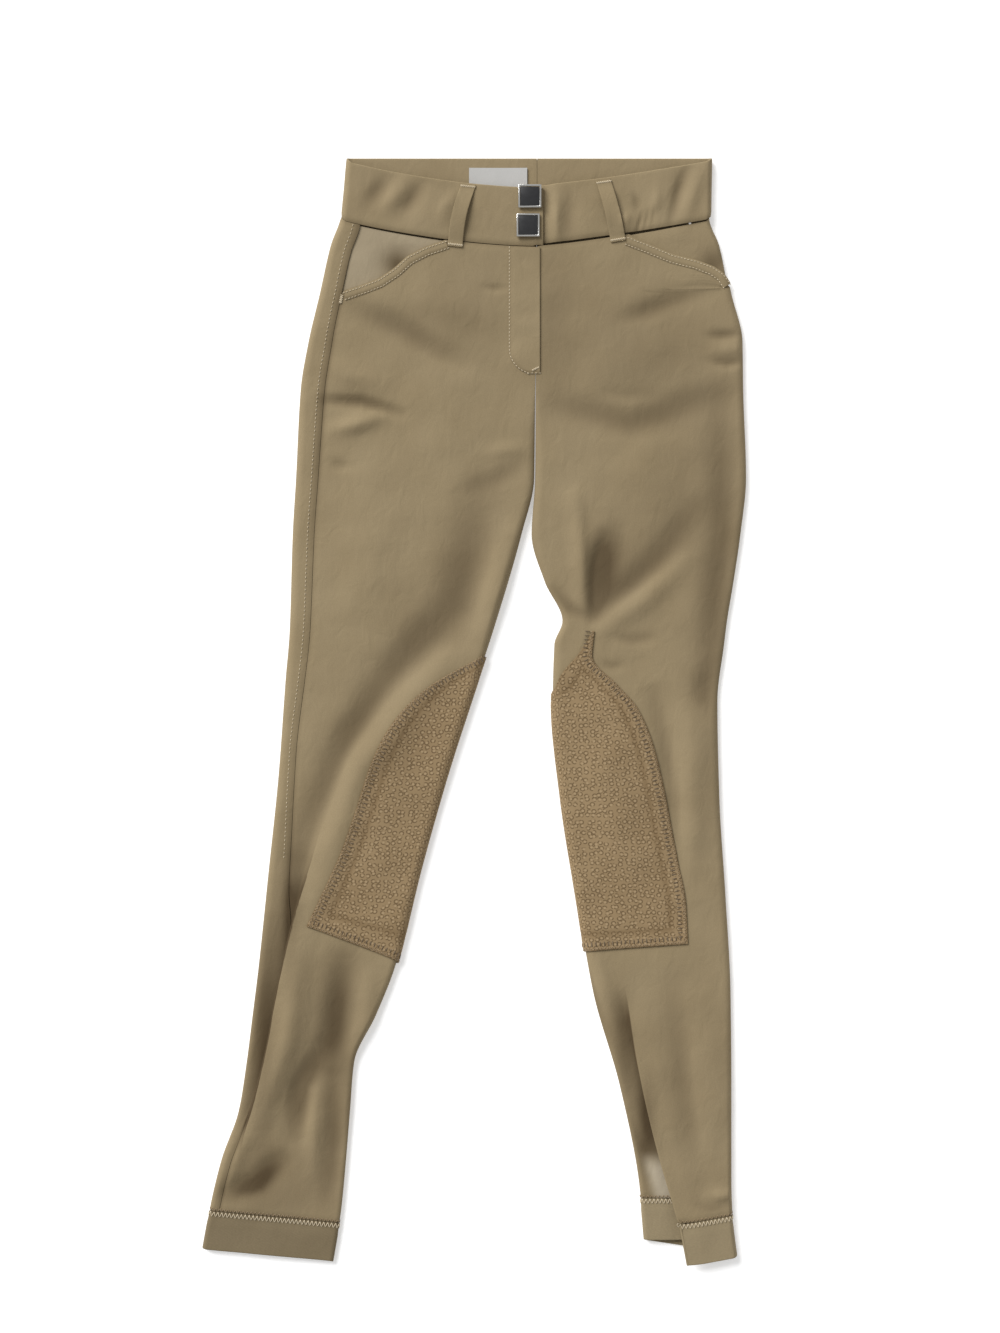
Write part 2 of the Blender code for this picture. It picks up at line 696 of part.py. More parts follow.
def knee_patch(side, material):
    """A grip patch: over the inner knee, from its edge on the front to the underside."""
    top, corner = PATCH[side][0][0], PATCH_FOOT[side][0]
    foot = PATCH_FOOT[side][1]
    rows = panel_levels(side)
    between = rows[(rows < top - 3) & (rows > corner + 3)]
    level = np.concatenate([[top], between, [corner, corner]])
    on_front = front_girths(side, level)
    first = {"right": -6, "left": -11}[side]
    under = back_girths(side, level)[:, :4]
    under[:, -1] = -1 + patch_under(side, level)
    g = np.concatenate([on_front[:, first:-1], under], axis=1)
    edge = g[:, :1]
    lean = np.clip((g - edge) / (1 - edge), 0, 1)
    lean = np.where(g < 0, 1.0, lean)
    rows = level[:, None] + 0 * g
    rows[-2] += PATCH_CORNER * (1 - lean[-2])
    rows[-1] += (foot - corner) * lean[-1]
    return wall(
        f"knee_patch_{side}",
        moved_out(side, rows, g, 0 * g + SEAM_GAP + PATCH_CLOTH),
        moved_out(side, rows, g, 0 * g + SEAM_GAP),
        material,
    )


def on_front(x, y, lift):
    """Points over the front's face at x and y, raised by lift."""
    x, y = np.broadcast_arrays(np.asarray(x, float), np.asarray(y, float))
    return np.stack([x, y, top_height(x, y) + lift], axis=-1)


def fly_placket(material):
    """The flap over the zip, square at the waist and rounded at its foot."""
    side = np.linspace(0.0, 1.0, 5)[None, :]
    rows = np.array([0.0, 0.25, 0.5, 0.8, 0.88, 0.94, 0.98, 1.0])[:, None]
    y_top = WAIST_LEVEL + WAIST_DIP - 0.7
    y = y_top + (FLY_FOOT - y_top) * rows
    sunk = np.clip((FLY_FOOT + FLY_CORNER - y) / FLY_CORNER, 0, 0.97)
    left = FLY_LEFT + FLY_CORNER * (1 - np.sqrt(1 - sunk**2))
    x = left + (FLY_RIGHT - left) * side
    y = y + 0 * x
    outer = on_front(x, y, SEAM_GAP + TWILL)
    return wall("fly_placket", outer, on_front(x, y, SEAM_GAP), material)


def pocket_band(side, material):
    """The stitched edge of a pocket mouth, a narrow strip on the front."""
    line = pocket_line(side, 10)
    way = np.gradient(line, axis=0)
    way /= np.linalg.norm(way, axis=1, keepdims=True)
    square = np.stack([way[:, 1], -way[:, 0]], axis=-1)
    if side == "right":
        square = -square
    square[:, 1] = -np.abs(square[:, 1])
    inset = np.array([0.5, POCKET_BAND_WIDTH])
    grid = line[:, None, :] + square[:, None, :] * inset[None, :, None]
    level, g = place_of(side, grid[..., 0], grid[..., 1])
    seat = np.linspace(*BAND_SEAT, len(line))[:, None] + 0 * g
    return wall(
        f"pocket_band_{side}",
        moved_out(side, level, g, seat + FACING_CLOTH),
        moved_out(side, level, g, seat),
        material,
    )


def pocket_facing(side, material):
    """The hip piece that shows in the pocket mouth, under the front's edge."""
    mouth_level, mouth_g = pocket_mouth(side)
    lap = POCKET_LAP * ease(1.0, 0.7, np.linspace(0, 1, len(mouth_level)))
    foot = mouth_level - lap + (POCKET_LAP - lap) * 0.6
    share = np.linspace(0, 1, 4)[None, :]
    level = WAIST_LEVEL - 1.0 + (foot - WAIST_LEVEL + 1.0)[:, None] * share
    g = mouth_g[:, None] + 0 * share
    return wall(
        f"pocket_facing_{side}",
        moved_out(side, level, g, 0 * g - POCKET_SUNK),
        moved_out(side, level, g, 0 * g - POCKET_SUNK - FACING_CLOTH),
        material,
    )


def front_belt_loop(side, material):
    """A belt loop over the front waistband, tacked flat at both ends."""
    top_x, foot_x = FRONT_LOOPS[side]
    share = np.array([0.0, 0.08, 0.25, 0.5, 0.75, 0.92, 1.0])[:, None]
    middle_x = top_x + (foot_x - top_x) * share
    x = middle_x + np.array([[-LOOP_HALF_WIDTH, LOOP_HALF_WIDTH]])
    foot_g = girth_on_top(side, WAIST_LEVEL + 0 * x, x)
    level = WAIST_LEVEL + BAND_HEIGHT - 1.0 - (BAND_HEIGHT + 4.0) * share + 0 * x
    y = level + WAIST_DIP * (1 - (1 - foot_g) ** DIP_POWER[side])
    bow = LOOP_BOW * np.sin(np.pi * np.clip((share - 0.08) / 0.84, 0, 1))
    outer = on_front(x, y, SEAM_GAP + LOOP_CLOTH + bow)
    return wall(f"belt_loop_front_{side}", outer, on_front(x, y, SEAM_GAP + bow), material)


def flat_strip(name, box, low, high, material):
    """A thin flat strip in x and y between two heights."""
    x0, x1, y0, y1 = box
    x, y = np.meshgrid([x0, x1], [y0, y1])
    outer = np.stack([x, y, 0 * x + high], axis=-1)
    return wall(name, outer, np.stack([x, y, 0 * x + low], axis=-1), material)


def square_frame(name, centre, size, bar, low, high, material):
    """A square frame with a bevelled upper edge."""
    build = bmesh.new()
    half = size / 2
    loops = ((half, low), (half, high - 0.6), (half - 0.6, high), (half - bar, high),
             (half - bar, low))
    rings = []
    for reach, z in loops:
        corners = ((-1, -1), (1, -1), (1, 1), (-1, 1))
        rings.append(
            [build.verts.new((centre[0] + i * reach, centre[1] + j * reach, z)) for i, j in corners]
        )
    for first, second in zip(rings, rings[1:] + rings[:1]):
        for i in range(4):
            k = (i + 1) % 4
            build.faces.new([first[i], first[k], second[k], second[i]])
    return finish(name, build, material, np.radians(20.0))


def square_plate(name, centre, size, low, high, material):
    """A square plate with a bevelled upper edge."""
    build = bmesh.new()
    bmesh.ops.create_cube(build, size=1.0)
    bmesh.ops.scale(build, vec=(size, size, high - low), verts=build.verts)
    bmesh.ops.translate(build, vec=(*centre, (low + high) / 2), verts=build.verts)
    upper = [e for e in build.edges if all(v.co.z > high - 0.01 for v in e.verts)]
    bmesh.ops.bevel(build, geom=upper, offset=0.4, segments=1, affect="EDGES")
    return finish(name, build, material, np.radians(20.0))


def snap(which, frame_material, plate_material):
    """A snap's square cap: a bright frame round an enamel plate, on the tab."""
    centre = SNAPS[which]
    x, y = np.meshgrid(*[np.linspace(c - SNAP_SIZE / 2, c + SNAP_SIZE / 2, 7) for c in centre])
    seat = float(top_height(x, y).max()) + SEAM_GAP
    inside = SNAP_SIZE - 2 * SNAP_BAR - 2 * SEAM_GAP
    square_frame(
        f"snap_frame_{which}", centre, SNAP_SIZE, SNAP_BAR, seat, seat + SNAP_DEPTH, frame_material
    )
    square_plate(f"snap_plate_{which}", centre, inside, seat, seat + PLATE_DEPTH, plate_material)


def build():
    for thing in list(bpy.data.objects):
        bpy.data.objects.remove(thing)

    twill = cloth_colour("stretch_twill", TAN)
    suede = cloth_colour("grip_suede", SUEDE, 0.95)
    woven = cloth_colour("label_weave", (0.6, 0.58, 0.52), 0.8)
    metal = cloth_colour("bright_metal", (0.75, 0.74, 0.72), 0.2, 1.0)
    enamel = cloth_colour("black_enamel", (0.02, 0.02, 0.02), 0.25)

    for side in ("right", "left"):
        level = panel_levels(side)
        panel(f"front_{side}", side, front_girths(side, level), twill)
        panel(f"back_{side}", side, back_girths(side, level), twill)
        waistband(side, twill)
        pocket_facing(side, twill)
        pocket_band(side, twill)
        front_belt_loop(side, twill)
        knee_patch(side, suede)
        cuff(side, twill)
    fly_placket(twill)

    loop_foot = WAIST_LEVEL + 1.0
    for place, x in BACK_LOOPS.items():
        box = (x - LOOP_HALF_WIDTH, x + LOOP_HALF_WIDTH, loop_foot, loop_foot + BAND_HEIGHT - 2.0)
        flat_strip(f"belt_loop_back_{place}", box, 0.0, LOOP_CLOTH, twill)
    for which in SNAPS:
        snap(which, metal, enamel)
    seat = UNDER_BAND + BAND_CLOTH + SEAM_GAP
    flat_strip("label", LABEL_BOX, seat, seat + LABEL_CLOTH, woven)


build()
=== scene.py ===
import math

import bmesh
import bpy
import numpy as np
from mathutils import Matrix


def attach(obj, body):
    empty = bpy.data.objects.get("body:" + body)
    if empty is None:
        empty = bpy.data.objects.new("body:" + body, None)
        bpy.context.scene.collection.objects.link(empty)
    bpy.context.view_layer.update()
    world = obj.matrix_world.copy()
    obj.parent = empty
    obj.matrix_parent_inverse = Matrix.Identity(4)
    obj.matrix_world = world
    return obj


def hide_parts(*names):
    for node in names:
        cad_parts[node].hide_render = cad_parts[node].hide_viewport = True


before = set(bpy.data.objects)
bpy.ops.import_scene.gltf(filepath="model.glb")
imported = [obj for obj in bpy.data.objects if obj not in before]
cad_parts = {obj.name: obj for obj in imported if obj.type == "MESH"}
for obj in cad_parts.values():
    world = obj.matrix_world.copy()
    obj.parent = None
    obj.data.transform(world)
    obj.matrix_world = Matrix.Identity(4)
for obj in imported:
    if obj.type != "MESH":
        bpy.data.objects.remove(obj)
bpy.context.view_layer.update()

# ---------------------------------------------------------------------------
# Fronts and backs. Four panels of tan cotton stretch twill, two for each leg, sewn at the
# outseam, the inseam and the centre. The breeches lie front up, so each leg is a flattened
# ring of cloth with a round fold at either side and the creases it fell into.
# ---------------------------------------------------------------------------
MM = 0.001
SEAM_GAP = 0.3
TWILL = 1.2
WAIST_LEVEL = 428.0
BAND_HEIGHT = 50.5
CROTCH_LEVEL = 202.0
OPEN_LEVEL = 290.0
CUFF_LEVEL = {"right": -431.0, "left": -434.5}
CENTRE_X = 54.0
WAIST_DIP = -27.0
DIP_POWER = {"right": 2.0, "left": 1.4}
DIP_FADE = 120.0
HEM_TILT = {"right": -12.0, "left": 13.5}
HEM_TILT_AT_LIP = {"right": None, "left": -8.5}
HEM_FADE = (-300.0, -425.0)
HEM_LAP = 0.05
LEAST_TOP = 4.8
UNDER_BAND = 1.3
UNDER_PATCH = 1.5
ROLL_SHARE = 0.1
FOLD_HEIGHT = 3.7
# Which way +X runs on a leg, from its outer fold to its inner one
ACROSS = {"right": 1.0, "left": -1.0}

# Each leg's outline: level along the garment, outer fold and inner fold, in millimetres
OUTLINE_COLUMNS = ("level", "outer", "inner")
OUTLINE = {
    "right": (
        (480.0, -110.1, 54.6),
        (428.0, -115.3, 54.6),
        (403.0, -124.0, 54.3),
        (361.0, -133.5, 54.0),
        (320.0, -143.1, 53.6),
        (278.0, -150.0, 53.2),
        (202.0, -154.0, 52.5),
        (153.0, -156.9, 41.6),
        (70.0, -159.5, 17.3),
        (28.0, -163.0, 3.5),
        (-55.0, -169.1, -23.4),
        (-138.0, -177.7, -46.8),
        (-221.0, -186.4, -67.6),
        (-263.0, -191.6, -84.1),
        (-304.0, -196.8, -103.0),
        (-346.0, -203.7, -106.6),
        (-388.0, -218.5, -110.1),
        (-431.0, -228.9, -114.3),
        (-480.0, -238.0, -122.2),
    ),
    "left": (
        (480.0, 206.3, 54.6),
        (428.0, 205.5, 54.6),
        (403.0, 214.1, 54.3),
        (361.0, 222.8, 54.0),
        (320.0, 232.4, 53.6),
        (278.0, 233.0, 53.2),
        (202.0, 235.5, 52.5),
        (153.0, 230.6, 49.4),
        (112.0, 224.6, 60.7),
        (78.0, 219.0, 76.0),
        (58.0, 216.5, 69.0),
        (8.0, 210.7, 67.6),
        (-75.0, 212.4, 75.4),
        (-159.0, 217.6, 88.4),
        (-242.0, 222.0, 102.3),
        (-325.0, 222.8, 125.7),
        (-408.0, 222.8, 142.2),
        (-434.0, 223.7, 144.6),
        (-480.0, 229.0, 148.5),
    ),
}
# How high the front lies over the surface, and how wide the side folds' round edge is
THICKNESS_COLUMNS = ("level", "top", "roll")
THICKNESS = (
    (480.0, 10.4, 5.0),
    (428.0, 10.4, 5.0),
    (380.0, 8.6, 6.0),
    (290.0, 8.8, 7.0),
    (202.0, 9.0, 7.5),
    (40.0, 8.8, 7.0),
    (-160.0, 8.2, 6.5),
    (-340.0, 7.4, 5.5),
    (-430.0, 6.8, 4.2),
    (-480.0, 6.6, 4.0),
)
# The outseam, in from the outer fold; on the left it lies on the underside
OUTSEAM_COLUMNS = ("level", "inset")
OUTSEAM = {
    "right": (
        (428.0, 17.0), (361.0, 18.5), (300.0, 21.0), (200.0, 19.5), (40.0, 17.5),
        (-35.0, 14.0), (-138.0, 18.5), (-206.0, 21.5), (-289.0, 16.5), (-340.0, 11.0),
        (-388.0, 8.5), (-480.0, 8.5),
    ),
    "left": ((428.0, -20.0), (200.0, -22.0), (-480.0, -18.0)),
}
# Where the shin's cloth laps over itself: place, drop towards -X, and overlap
LIP_COLUMNS = ("level", "x", "drop", "tuck")
LIP = {
    "right": (
        (428.0, -60.0, 0.0, 0.0),
        (40.0, -112.0, 0.0, 0.0),
        (-80.0, -131.0, 0.0, 0.0),
        (-128.0, -142.5, 1.2, 1.0),
        (-182.0, -156.9, 3.2, 3.2),
        (-250.0, -171.7, 4.2, 4.2),
        (-289.0, -178.6, 3.8, 4.0),
        (-336.0, -191.6, 2.6, 2.6),
        (-372.0, -204.0, 0.8, 0.6),
        (-392.0, -206.0, 0.0, 0.0),
        (-480.0, -214.0, 0.0, 0.0),
    ),
    "left": (
        (428.0, 140.0, 0.0, 0.0),
        (40.0, 112.0, 0.0, 0.0),
        (-225.0, 124.0, 0.0, 0.0),
        (-255.0, 130.0, 1.4, 1.2),
        (-308.0, 142.2, 4.8, 4.4),
        (-367.0, 157.8, 6.4, 5.2),
        (-443.0, 180.0, 7.0, 5.2),
        (-480.0, 187.0, 7.0, 5.2),
    ),
}
LIP_WIDTH = 5.5
LIP_STEP = 0.8 * LIP_WIDTH
LIP_DIP = 0.22
LIP_DIP_REACH = 3 * LIP_WIDTH
LIP_REACH = 55.0
TUCK_PEAK = 2.33
FOLD_DEPTH = 1.9
FOLD_ENDS = 0.35
FOLDS_TOP = (418.0, 385.0)
FOLDS_FOOT = (-434.0, -415.0)
SOFT_FLOOR = 0.9
# Faint ripples all over: turns a millimetre along x and y, and height
RIPPLES = ((0.11, 0.05, 0.20), (-0.06, 0.13, 0.16), (0.17, -0.09, 0.10), (0.03, 0.21, 0.08))
RIPPLE_SHIFT = 1.7
RIPPLE_BEND, RIPPLE_RUN = 0.4, 31
SEAM_SINK = 0.7
SEAM_REACH = 2.2
# Swells and creases of the front, each along three points: width and height
FOLDS = (
    # right hip and thigh
    (-104.9, 349.4, -58.0, 329.0, -12.1, 300.9, 11.0, -1.8),
    (-122.0, 243.0, -104.0, 247.0, -80.0, 254.0, 7.0, 2.2),
    (-128.0, 268.0, -96.0, 267.0, -62.4, 257.0, 5.0, -2.4),
    (-125.0, 303.0, -110.0, 290.0, -80.0, 282.0, 9.0, 1.4),
    (-123.0, 214.0, -116.0, 212.5, -106.0, 211.0, 5.0, -0.9),
    (-60.0, 364.0, -30.0, 352.0, 8.0, 350.0, 16.0, 1.2),
    (10.0, 366.0, 18.0, 365.0, 27.0, 366.0, 3.5, -0.8),
    (-40.0, 300.0, -20.0, 262.0, -10.0, 220.0, 24.0, 1.4),
    (-90.0, 200.0, -88.0, 130.0, -98.0, 70.0, 26.0, 1.8),
    (6.9, 181.2, -16.5, 92.8, -60.7, 39.0, 18.0, -2.6),
    (31.0, 150.0, 18.0, 100.0, 4.0, 55.0, 10.0, 1.8),
    (44.0, 215.0, 20.0, 200.0, -10.0, 190.0, 9.0, -1.2),
    (46.0, 226.0, 30.0, 226.0, 8.0, 222.0, 6.0, 0.9),
    (-45.0, 69.4, -108.0, -24.0, -150.0, -125.0, 13.0, -2.4),
    (-28.6, 39.0, -100.0, -50.0, -136.0, -160.0, 14.0, 3.0),
    # right knee and shin
    (-66.0, 10.0, -76.0, -60.0, -92.0, -130.0, 20.0, 1.2),
    (-150.0, -199.4, -160.0, -279.2, -190.0, -366.0, 12.0, 3.0),
    (-131.8, -290.4, -149.1, -325.0, -153.5, -364.0, 10.0, -3.2),
    (-111.0, -218.5, -119.0, -262.0, -122.2, -306.0, 12.0, -2.8),
    (-122.0, -316.0, -121.0, -368.0, -126.6, -422.0, 8.0, -1.8),
    (-138.0, -330.0, -138.0, -362.0, -139.0, -398.0, 7.0, 1.3),
    (-167.3, -388.0, -187.0, -408.0, -212.0, -418.0, 9.0, -3.2),
    (-90.0, -232.0, -92.0, -262.0, -104.0, -292.0, 8.0, 1.2),
    (-196.0, -366.0, -205.0, -390.0, -214.0, -408.0, 7.0, 1.0),
    # left hip and thigh
    (130.9, 339.0, 160.0, 350.0, 207.2, 365.9, 8.0, -1.4),
    (72.8, 264.4, 138.0, 247.0, 217.6, 276.6, 13.0, -1.8),
    (111.0, 277.0, 132.0, 273.0, 155.0, 274.0, 6.0, -0.8),
    (96.0, 320.0, 130.0, 306.0, 176.0, 316.0, 22.0, 1.4),
    (204.0, 325.0, 216.0, 324.0, 229.0, 326.0, 3.5, -1.4),
    (208.0, 303.0, 219.0, 300.0, 231.0, 302.0, 3.5, -1.6),
    (210.0, 312.0, 220.0, 312.0, 230.0, 313.0, 4.0, 0.9),
    (214.2, 269.6, 216.0, 150.0, 199.4, 11.3, 12.0, -1.8),
    (140.0, 230.0, 150.0, 200.0, 150.0, 170.0, 26.0, 1.6),
    (112.0, 150.0, 107.0, 118.0, 103.5, 84.0, 8.0, -3.2),
    (124.0, 156.0, 118.0, 124.0, 107.0, 88.0, 11.0, -1.8),
    (88.0, 185.0, 93.0, 130.0, 97.0, 82.0, 7.0, 2.2),
    (189.0, 173.4, 158.0, 126.0, 110.0, 88.0, 13.0, -2.4),
    (176.0, 130.0, 148.0, 98.0, 112.0, 72.0, 10.0, 2.4),
    (121.0, 64.0, 138.0, 60.0, 155.0, 64.0, 5.0, -1.0),
    (111.0, 41.0, 120.0, 38.0, 129.0, 40.0, 4.0, -0.8),
    (70.0, 104.0, 84.0, 88.0, 100.0, 78.0, 5.0, -1.6),
    # left knee and shin
    (156.0, 15.6, 170.8, -62.4, 177.7, -132.7, 7.0, -1.6),
    (190.0, 0.0, 188.0, -60.0, 189.0, -130.0, 12.0, 2.2),
    (200.0, 35.0, 198.0, 20.0, 197.0, -20.0, 8.0, -1.0),
    (110.0, -10.0, 120.0, -80.0, 132.0, -160.0, 22.0, 1.4),
    (103.0, -205.0, 111.0, -232.0, 122.0, -262.0, 8.0, 1.4),
    (96.0, -212.0, 104.0, -250.0, 116.0, -290.0, 6.0, -1.4),
    (133.0, -346.0, 144.0, -376.0, 154.0, -403.0, 5.0, -1.0),
    (200.0, -250.0, 204.0, -320.0, 205.0, -390.0, 15.0, 1.2),
    (172.0, -240.0, 182.0, -320.0, 196.0, -400.0, 11.0, -1.0),
    (206.0, -418.0, 214.0, -419.0, 222.0, -418.0, 5.0, 1.6),
    (190.0, -426.0, 204.0, -429.0, 222.0, -427.0, 4.0, -1.2),
)
# Shallow hollows of the back, pressed up into it from the surface, as in FOLDS
BACK_FOLDS = (
    (-100.0, 330.0, -60.0, 300.0, -10.0, 282.0, 12.0, -0.7),
    (-110.0, 215.0, -50.0, 205.0, 20.0, 222.0, 10.0, -0.8),
    (-120.0, 240.0, -70.0, 236.0, -30.0, 245.0, 7.0, -0.5),
    (0.0, 170.0, -40.0, 90.0, -75.0, 20.0, 14.0, -0.8),
    (-130.0, 40.0, -125.0, -40.0, -150.0, -120.0, 12.0, -0.6),
    (-150.0, -210.0, -155.0, -290.0, -170.0, -360.0, 11.0, -0.8),
    (-125.0, -300.0, -140.0, -350.0, -150.0, -400.0, 8.0, -0.6),
    (90.0, 300.0, 140.0, 285.0, 200.0, 300.0, 12.0, -0.7),
    (80.0, 225.0, 130.0, 205.0, 210.0, 220.0, 9.0, -0.8),
    (110.0, 130.0, 150.0, 100.0, 200.0, 60.0, 13.0, -0.7),
    (185.0, 0.0, 180.0, -80.0, 190.0, -160.0, 12.0, -0.6),
    (170.0, -240.0, 185.0, -310.0, 195.0, -390.0, 10.0, -0.8),
    (140.0, -300.0, 150.0, -340.0, 165.0, -385.0, 7.0, -0.6),
)
# Broad areas where shade is painted into the cloth's colour: middle x and y, reach in x and y,
# amount
PAINTED_SHADES = (
    (66.0, 335.0, 20.0, 66.0, 0.26),
    (140.0, 325.0, 62.0, 42.0, 0.24),
    (175.0, 205.0, 58.0, 96.0, 0.16),
    (118.0, 122.0, 24.0, 40.0, 0.24),
    (205.0, 40.0, 16.0, 130.0, 0.22),
    (-12.0, 340.0, 46.0, 50.0, 0.18),
    (-172.0, -412.0, 52.0, 40.0, 0.34),
    (-118.0, -292.0, 22.0, 90.0, 0.30),
    (-182.0, -265.0, 11.0, 100.0, 0.42),
    (-158.0, -170.0, 9.0, 70.0, 0.36),
    (128.0, -290.0, 9.0, 60.0, 0.30),
    (149.0, -362.0, 8.0, 46.0, 0.50),
    (184.0, -310.0, 34.0, 110.0, 0.15),
    (-93.0, -24.0, 30.0, 70.0, 0.10),
)
# Knee patches: their edge on the front, as level and x, down to the lower corner
PATCH_COLUMNS = ("level", "x")
PATCH = {
    "right": ((47.0, 8.0), (36.5, -13.0), (21.0, -39.0), (-1.0, -62.7), (-24.3, -78.9),
              (-50.0, -90.6), (-86.0, -102.3), (-120.5, -114.4), (-151.7, -128.3),
              (-185.5, -144.4)),
    "left": ((69.0, 104.0), (48.0, 101.9), (22.5, 124.0), (3.8, 140.5), (-25.7, 153.5),
             (-67.6, 163.9), (-98.8, 170.0), (-131.0, 176.4), (-166.5, 183.0),
             (-201.0, 184.7)),
}
PATCH_FOOT = {"right": (-185.5, -218.0), "left": (-201.0, -208.0)}
PATCH_UNDER = 46.0
PATCH_UNDER_TOP = 12.0
PATCH_MARGIN = 2.0
PATCH_RAMP = 14.0
PATCH_EASE = 0.12
LOOPS_RAMP = (402.0, 424.0)


def column(rows, names, name):
    """One column of a table, as an array."""
    return np.array([row[names.index(name)] for row in rows], dtype=float)


def smooth(rows, names, name, at):
    """A table's column at any level, on a smooth curve that never overshoots."""
    levels = column(rows, names, names[0])[::-1]
    values = column(rows, names, name)[::-1]
    step = np.diff(levels)
    slope = np.diff(values) / step
    tangent = np.zeros_like(values)
    same_way = slope[:-1] * slope[1:] > 0
    mean = 2 * slope[:-1] * slope[1:] / np.where(same_way, slope[:-1] + slope[1:], 1.0)
    tangent[1:-1] = np.where(same_way, mean, 0.0)
    tangent[0], tangent[-1] = slope[0], slope[-1]
    at = np.clip(at, levels[0], levels[-1])
    i = np.clip(np.searchsorted(levels, at) - 1, 0, len(step) - 1)
    h = step[i]
    t = (at - levels[i]) / h
    return (
        (2 * t**3 - 3 * t**2 + 1) * values[i]
        + (t**3 - 2 * t**2 + t) * h * tangent[i]
        + (3 * t**2 - 2 * t**3) * values[i + 1]
        + (t**3 - t**2) * h * tangent[i + 1]
    )


def ease(start, end, value):
    """0 at start, 1 at end, with soft ends; start may be over end."""
    t = np.clip((value - start) / (end - start), 0.0, 1.0)
    return t * t * (3 - 2 * t)


def outer_x(side, level):
    return smooth(OUTLINE[side], OUTLINE_COLUMNS, "outer", level)


def inner_x(side, level):
    return smooth(OUTLINE[side], OUTLINE_COLUMNS, "inner", level)


def width_at(side, level):
    return np.abs(inner_x(side, level) - outer_x(side, level))


def roll_at(level):
    return smooth(THICKNESS, THICKNESS_COLUMNS, "roll", level)


def closing(level):
    """0 where the two sides meet at the centre, 1 where each leg is a ring."""
    return ease(OPEN_LEVEL, CROTCH_LEVEL + 4.0, level)


def folds(x, y, rows=FOLDS):
    """The swells and creases at a point, from a table of them."""
    total = np.zeros(np.broadcast(x, y).shape)
    for x0, y0, x1, y1, x2, y2, width, height in rows:
        nearest = np.full(total.shape, 1e9)
        along = np.zeros(total.shape)
        ends = ((x0, y0, x1, y1, 0.0), (x1, y1, x2, y2, 0.5))
        for ax, ay, bx, by, start in ends:
            length = (bx - ax) ** 2 + (by - ay) ** 2
            t = np.clip(((x - ax) * (bx - ax) + (y - ay) * (by - ay)) / length, 0, 1)
            away = np.hypot(x - ax - t * (bx - ax), y - ay - t * (by - ay))
            closer = away < nearest
            nearest = np.where(closer, away, nearest)
            along = np.where(closer, start + t / 2, along)
        ends_fade = FOLD_ENDS + (1 - FOLD_ENDS) * np.sin(np.pi * along)
        total = total + height * ends_fade * np.exp(-((nearest / width) ** 2))
    return FOLD_DEPTH * total


def lip_at(side, level):
    """The lip's x, drop and tuck at a level."""
    return [smooth(LIP[side], LIP_COLUMNS, name, level) for name in LIP_COLUMNS[1:]]


def top_height(x, y, side=None, level=None, flat_x=None):
    """Height of the front's outer face over the surface."""
    height = smooth(THICKNESS, THICKNESS_COLUMNS, "top", y)
    height = height + folds(x, y) * ease(*FOLDS_TOP, y) * ease(*FOLDS_FOOT, y)
    if side:
        at, drop, _ = lip_at(side, level)
        across = flat_x - at
        sink = np.exp(-np.maximum(across, 0.0) / LIP_REACH)
        height = height + drop * sink * ease(-LIP_STEP, LIP_STEP, across)
        height = height - LIP_DIP * drop * ease(LIP_DIP_REACH, 0.0, np.abs(across))
    for i, (along_x, along_y, swell) in enumerate(RIPPLES):
        bent = RIPPLE_SHIFT * i + RIPPLE_BEND * np.sin(x / RIPPLE_RUN)
        height = height + swell * np.sin(along_x * x + along_y * y + bent)
    over = (height - LEAST_TOP) / SOFT_FLOOR
    return LEAST_TOP + SOFT_FLOOR * np.logaddexp(0.0, over)


def girth_of_x(side, level, x):
    """The girth on the front whose flat place across the leg is x."""
    roll = roll_at(level)
    share = (np.abs(x - outer_x(side, level)) - roll) / (width_at(side, level) - 2 * roll)
    return ROLL_SHARE + (1 - 2 * ROLL_SHARE) * share


def hem_offset(side, a, level, on_top):
    """How far a section runs off level across the leg, towards the hem."""
    fade = ease(*HEM_FADE, level)
    tilt = HEM_TILT[side]
    straight = tilt * a
    if HEM_TILT_AT_LIP[side] is None:
        return fade * straight
    at = girth_of_x(side, level, lip_at(side, level)[0])
    over = HEM_TILT_AT_LIP[side] * a / at
    stepped = over + (tilt - over) * ease(at - HEM_LAP, at + HEM_LAP, a)
    return fade * np.where(on_top, stepped, straight)


def patch_rows(side):
    """The levels between which a leg's back is held off the surface by its patch."""
    return PATCH[side][0][0] + PATCH_MARGIN, min(PATCH_FOOT[side]) - PATCH_MARGIN


def patch_under(side, level):
    """How much of the girth, on under the leg from the inseam, the patch covers."""
    top, foot = patch_rows(side)
    along = ease(top, (top + foot) / 2, level)
    reach = PATCH_UNDER_TOP + (PATCH_UNDER - PATCH_UNDER_TOP) * along
    return reach / width_at(side, level)


def under_lift(side, a, level, width):
    """How far the back is held off the surface by what lies under it."""
    loops = UNDER_BAND * ease(*LOOPS_RAMP, level)
    top, foot = patch_rows(side)
    along = ease(top + PATCH_RAMP, top, level) * ease(foot - PATCH_RAMP, foot, level)
    edge = patch_under(side, level) + PATCH_MARGIN / width
    return loops + UNDER_PATCH * along * ease(edge + PATCH_EASE, edge, 1 - a)


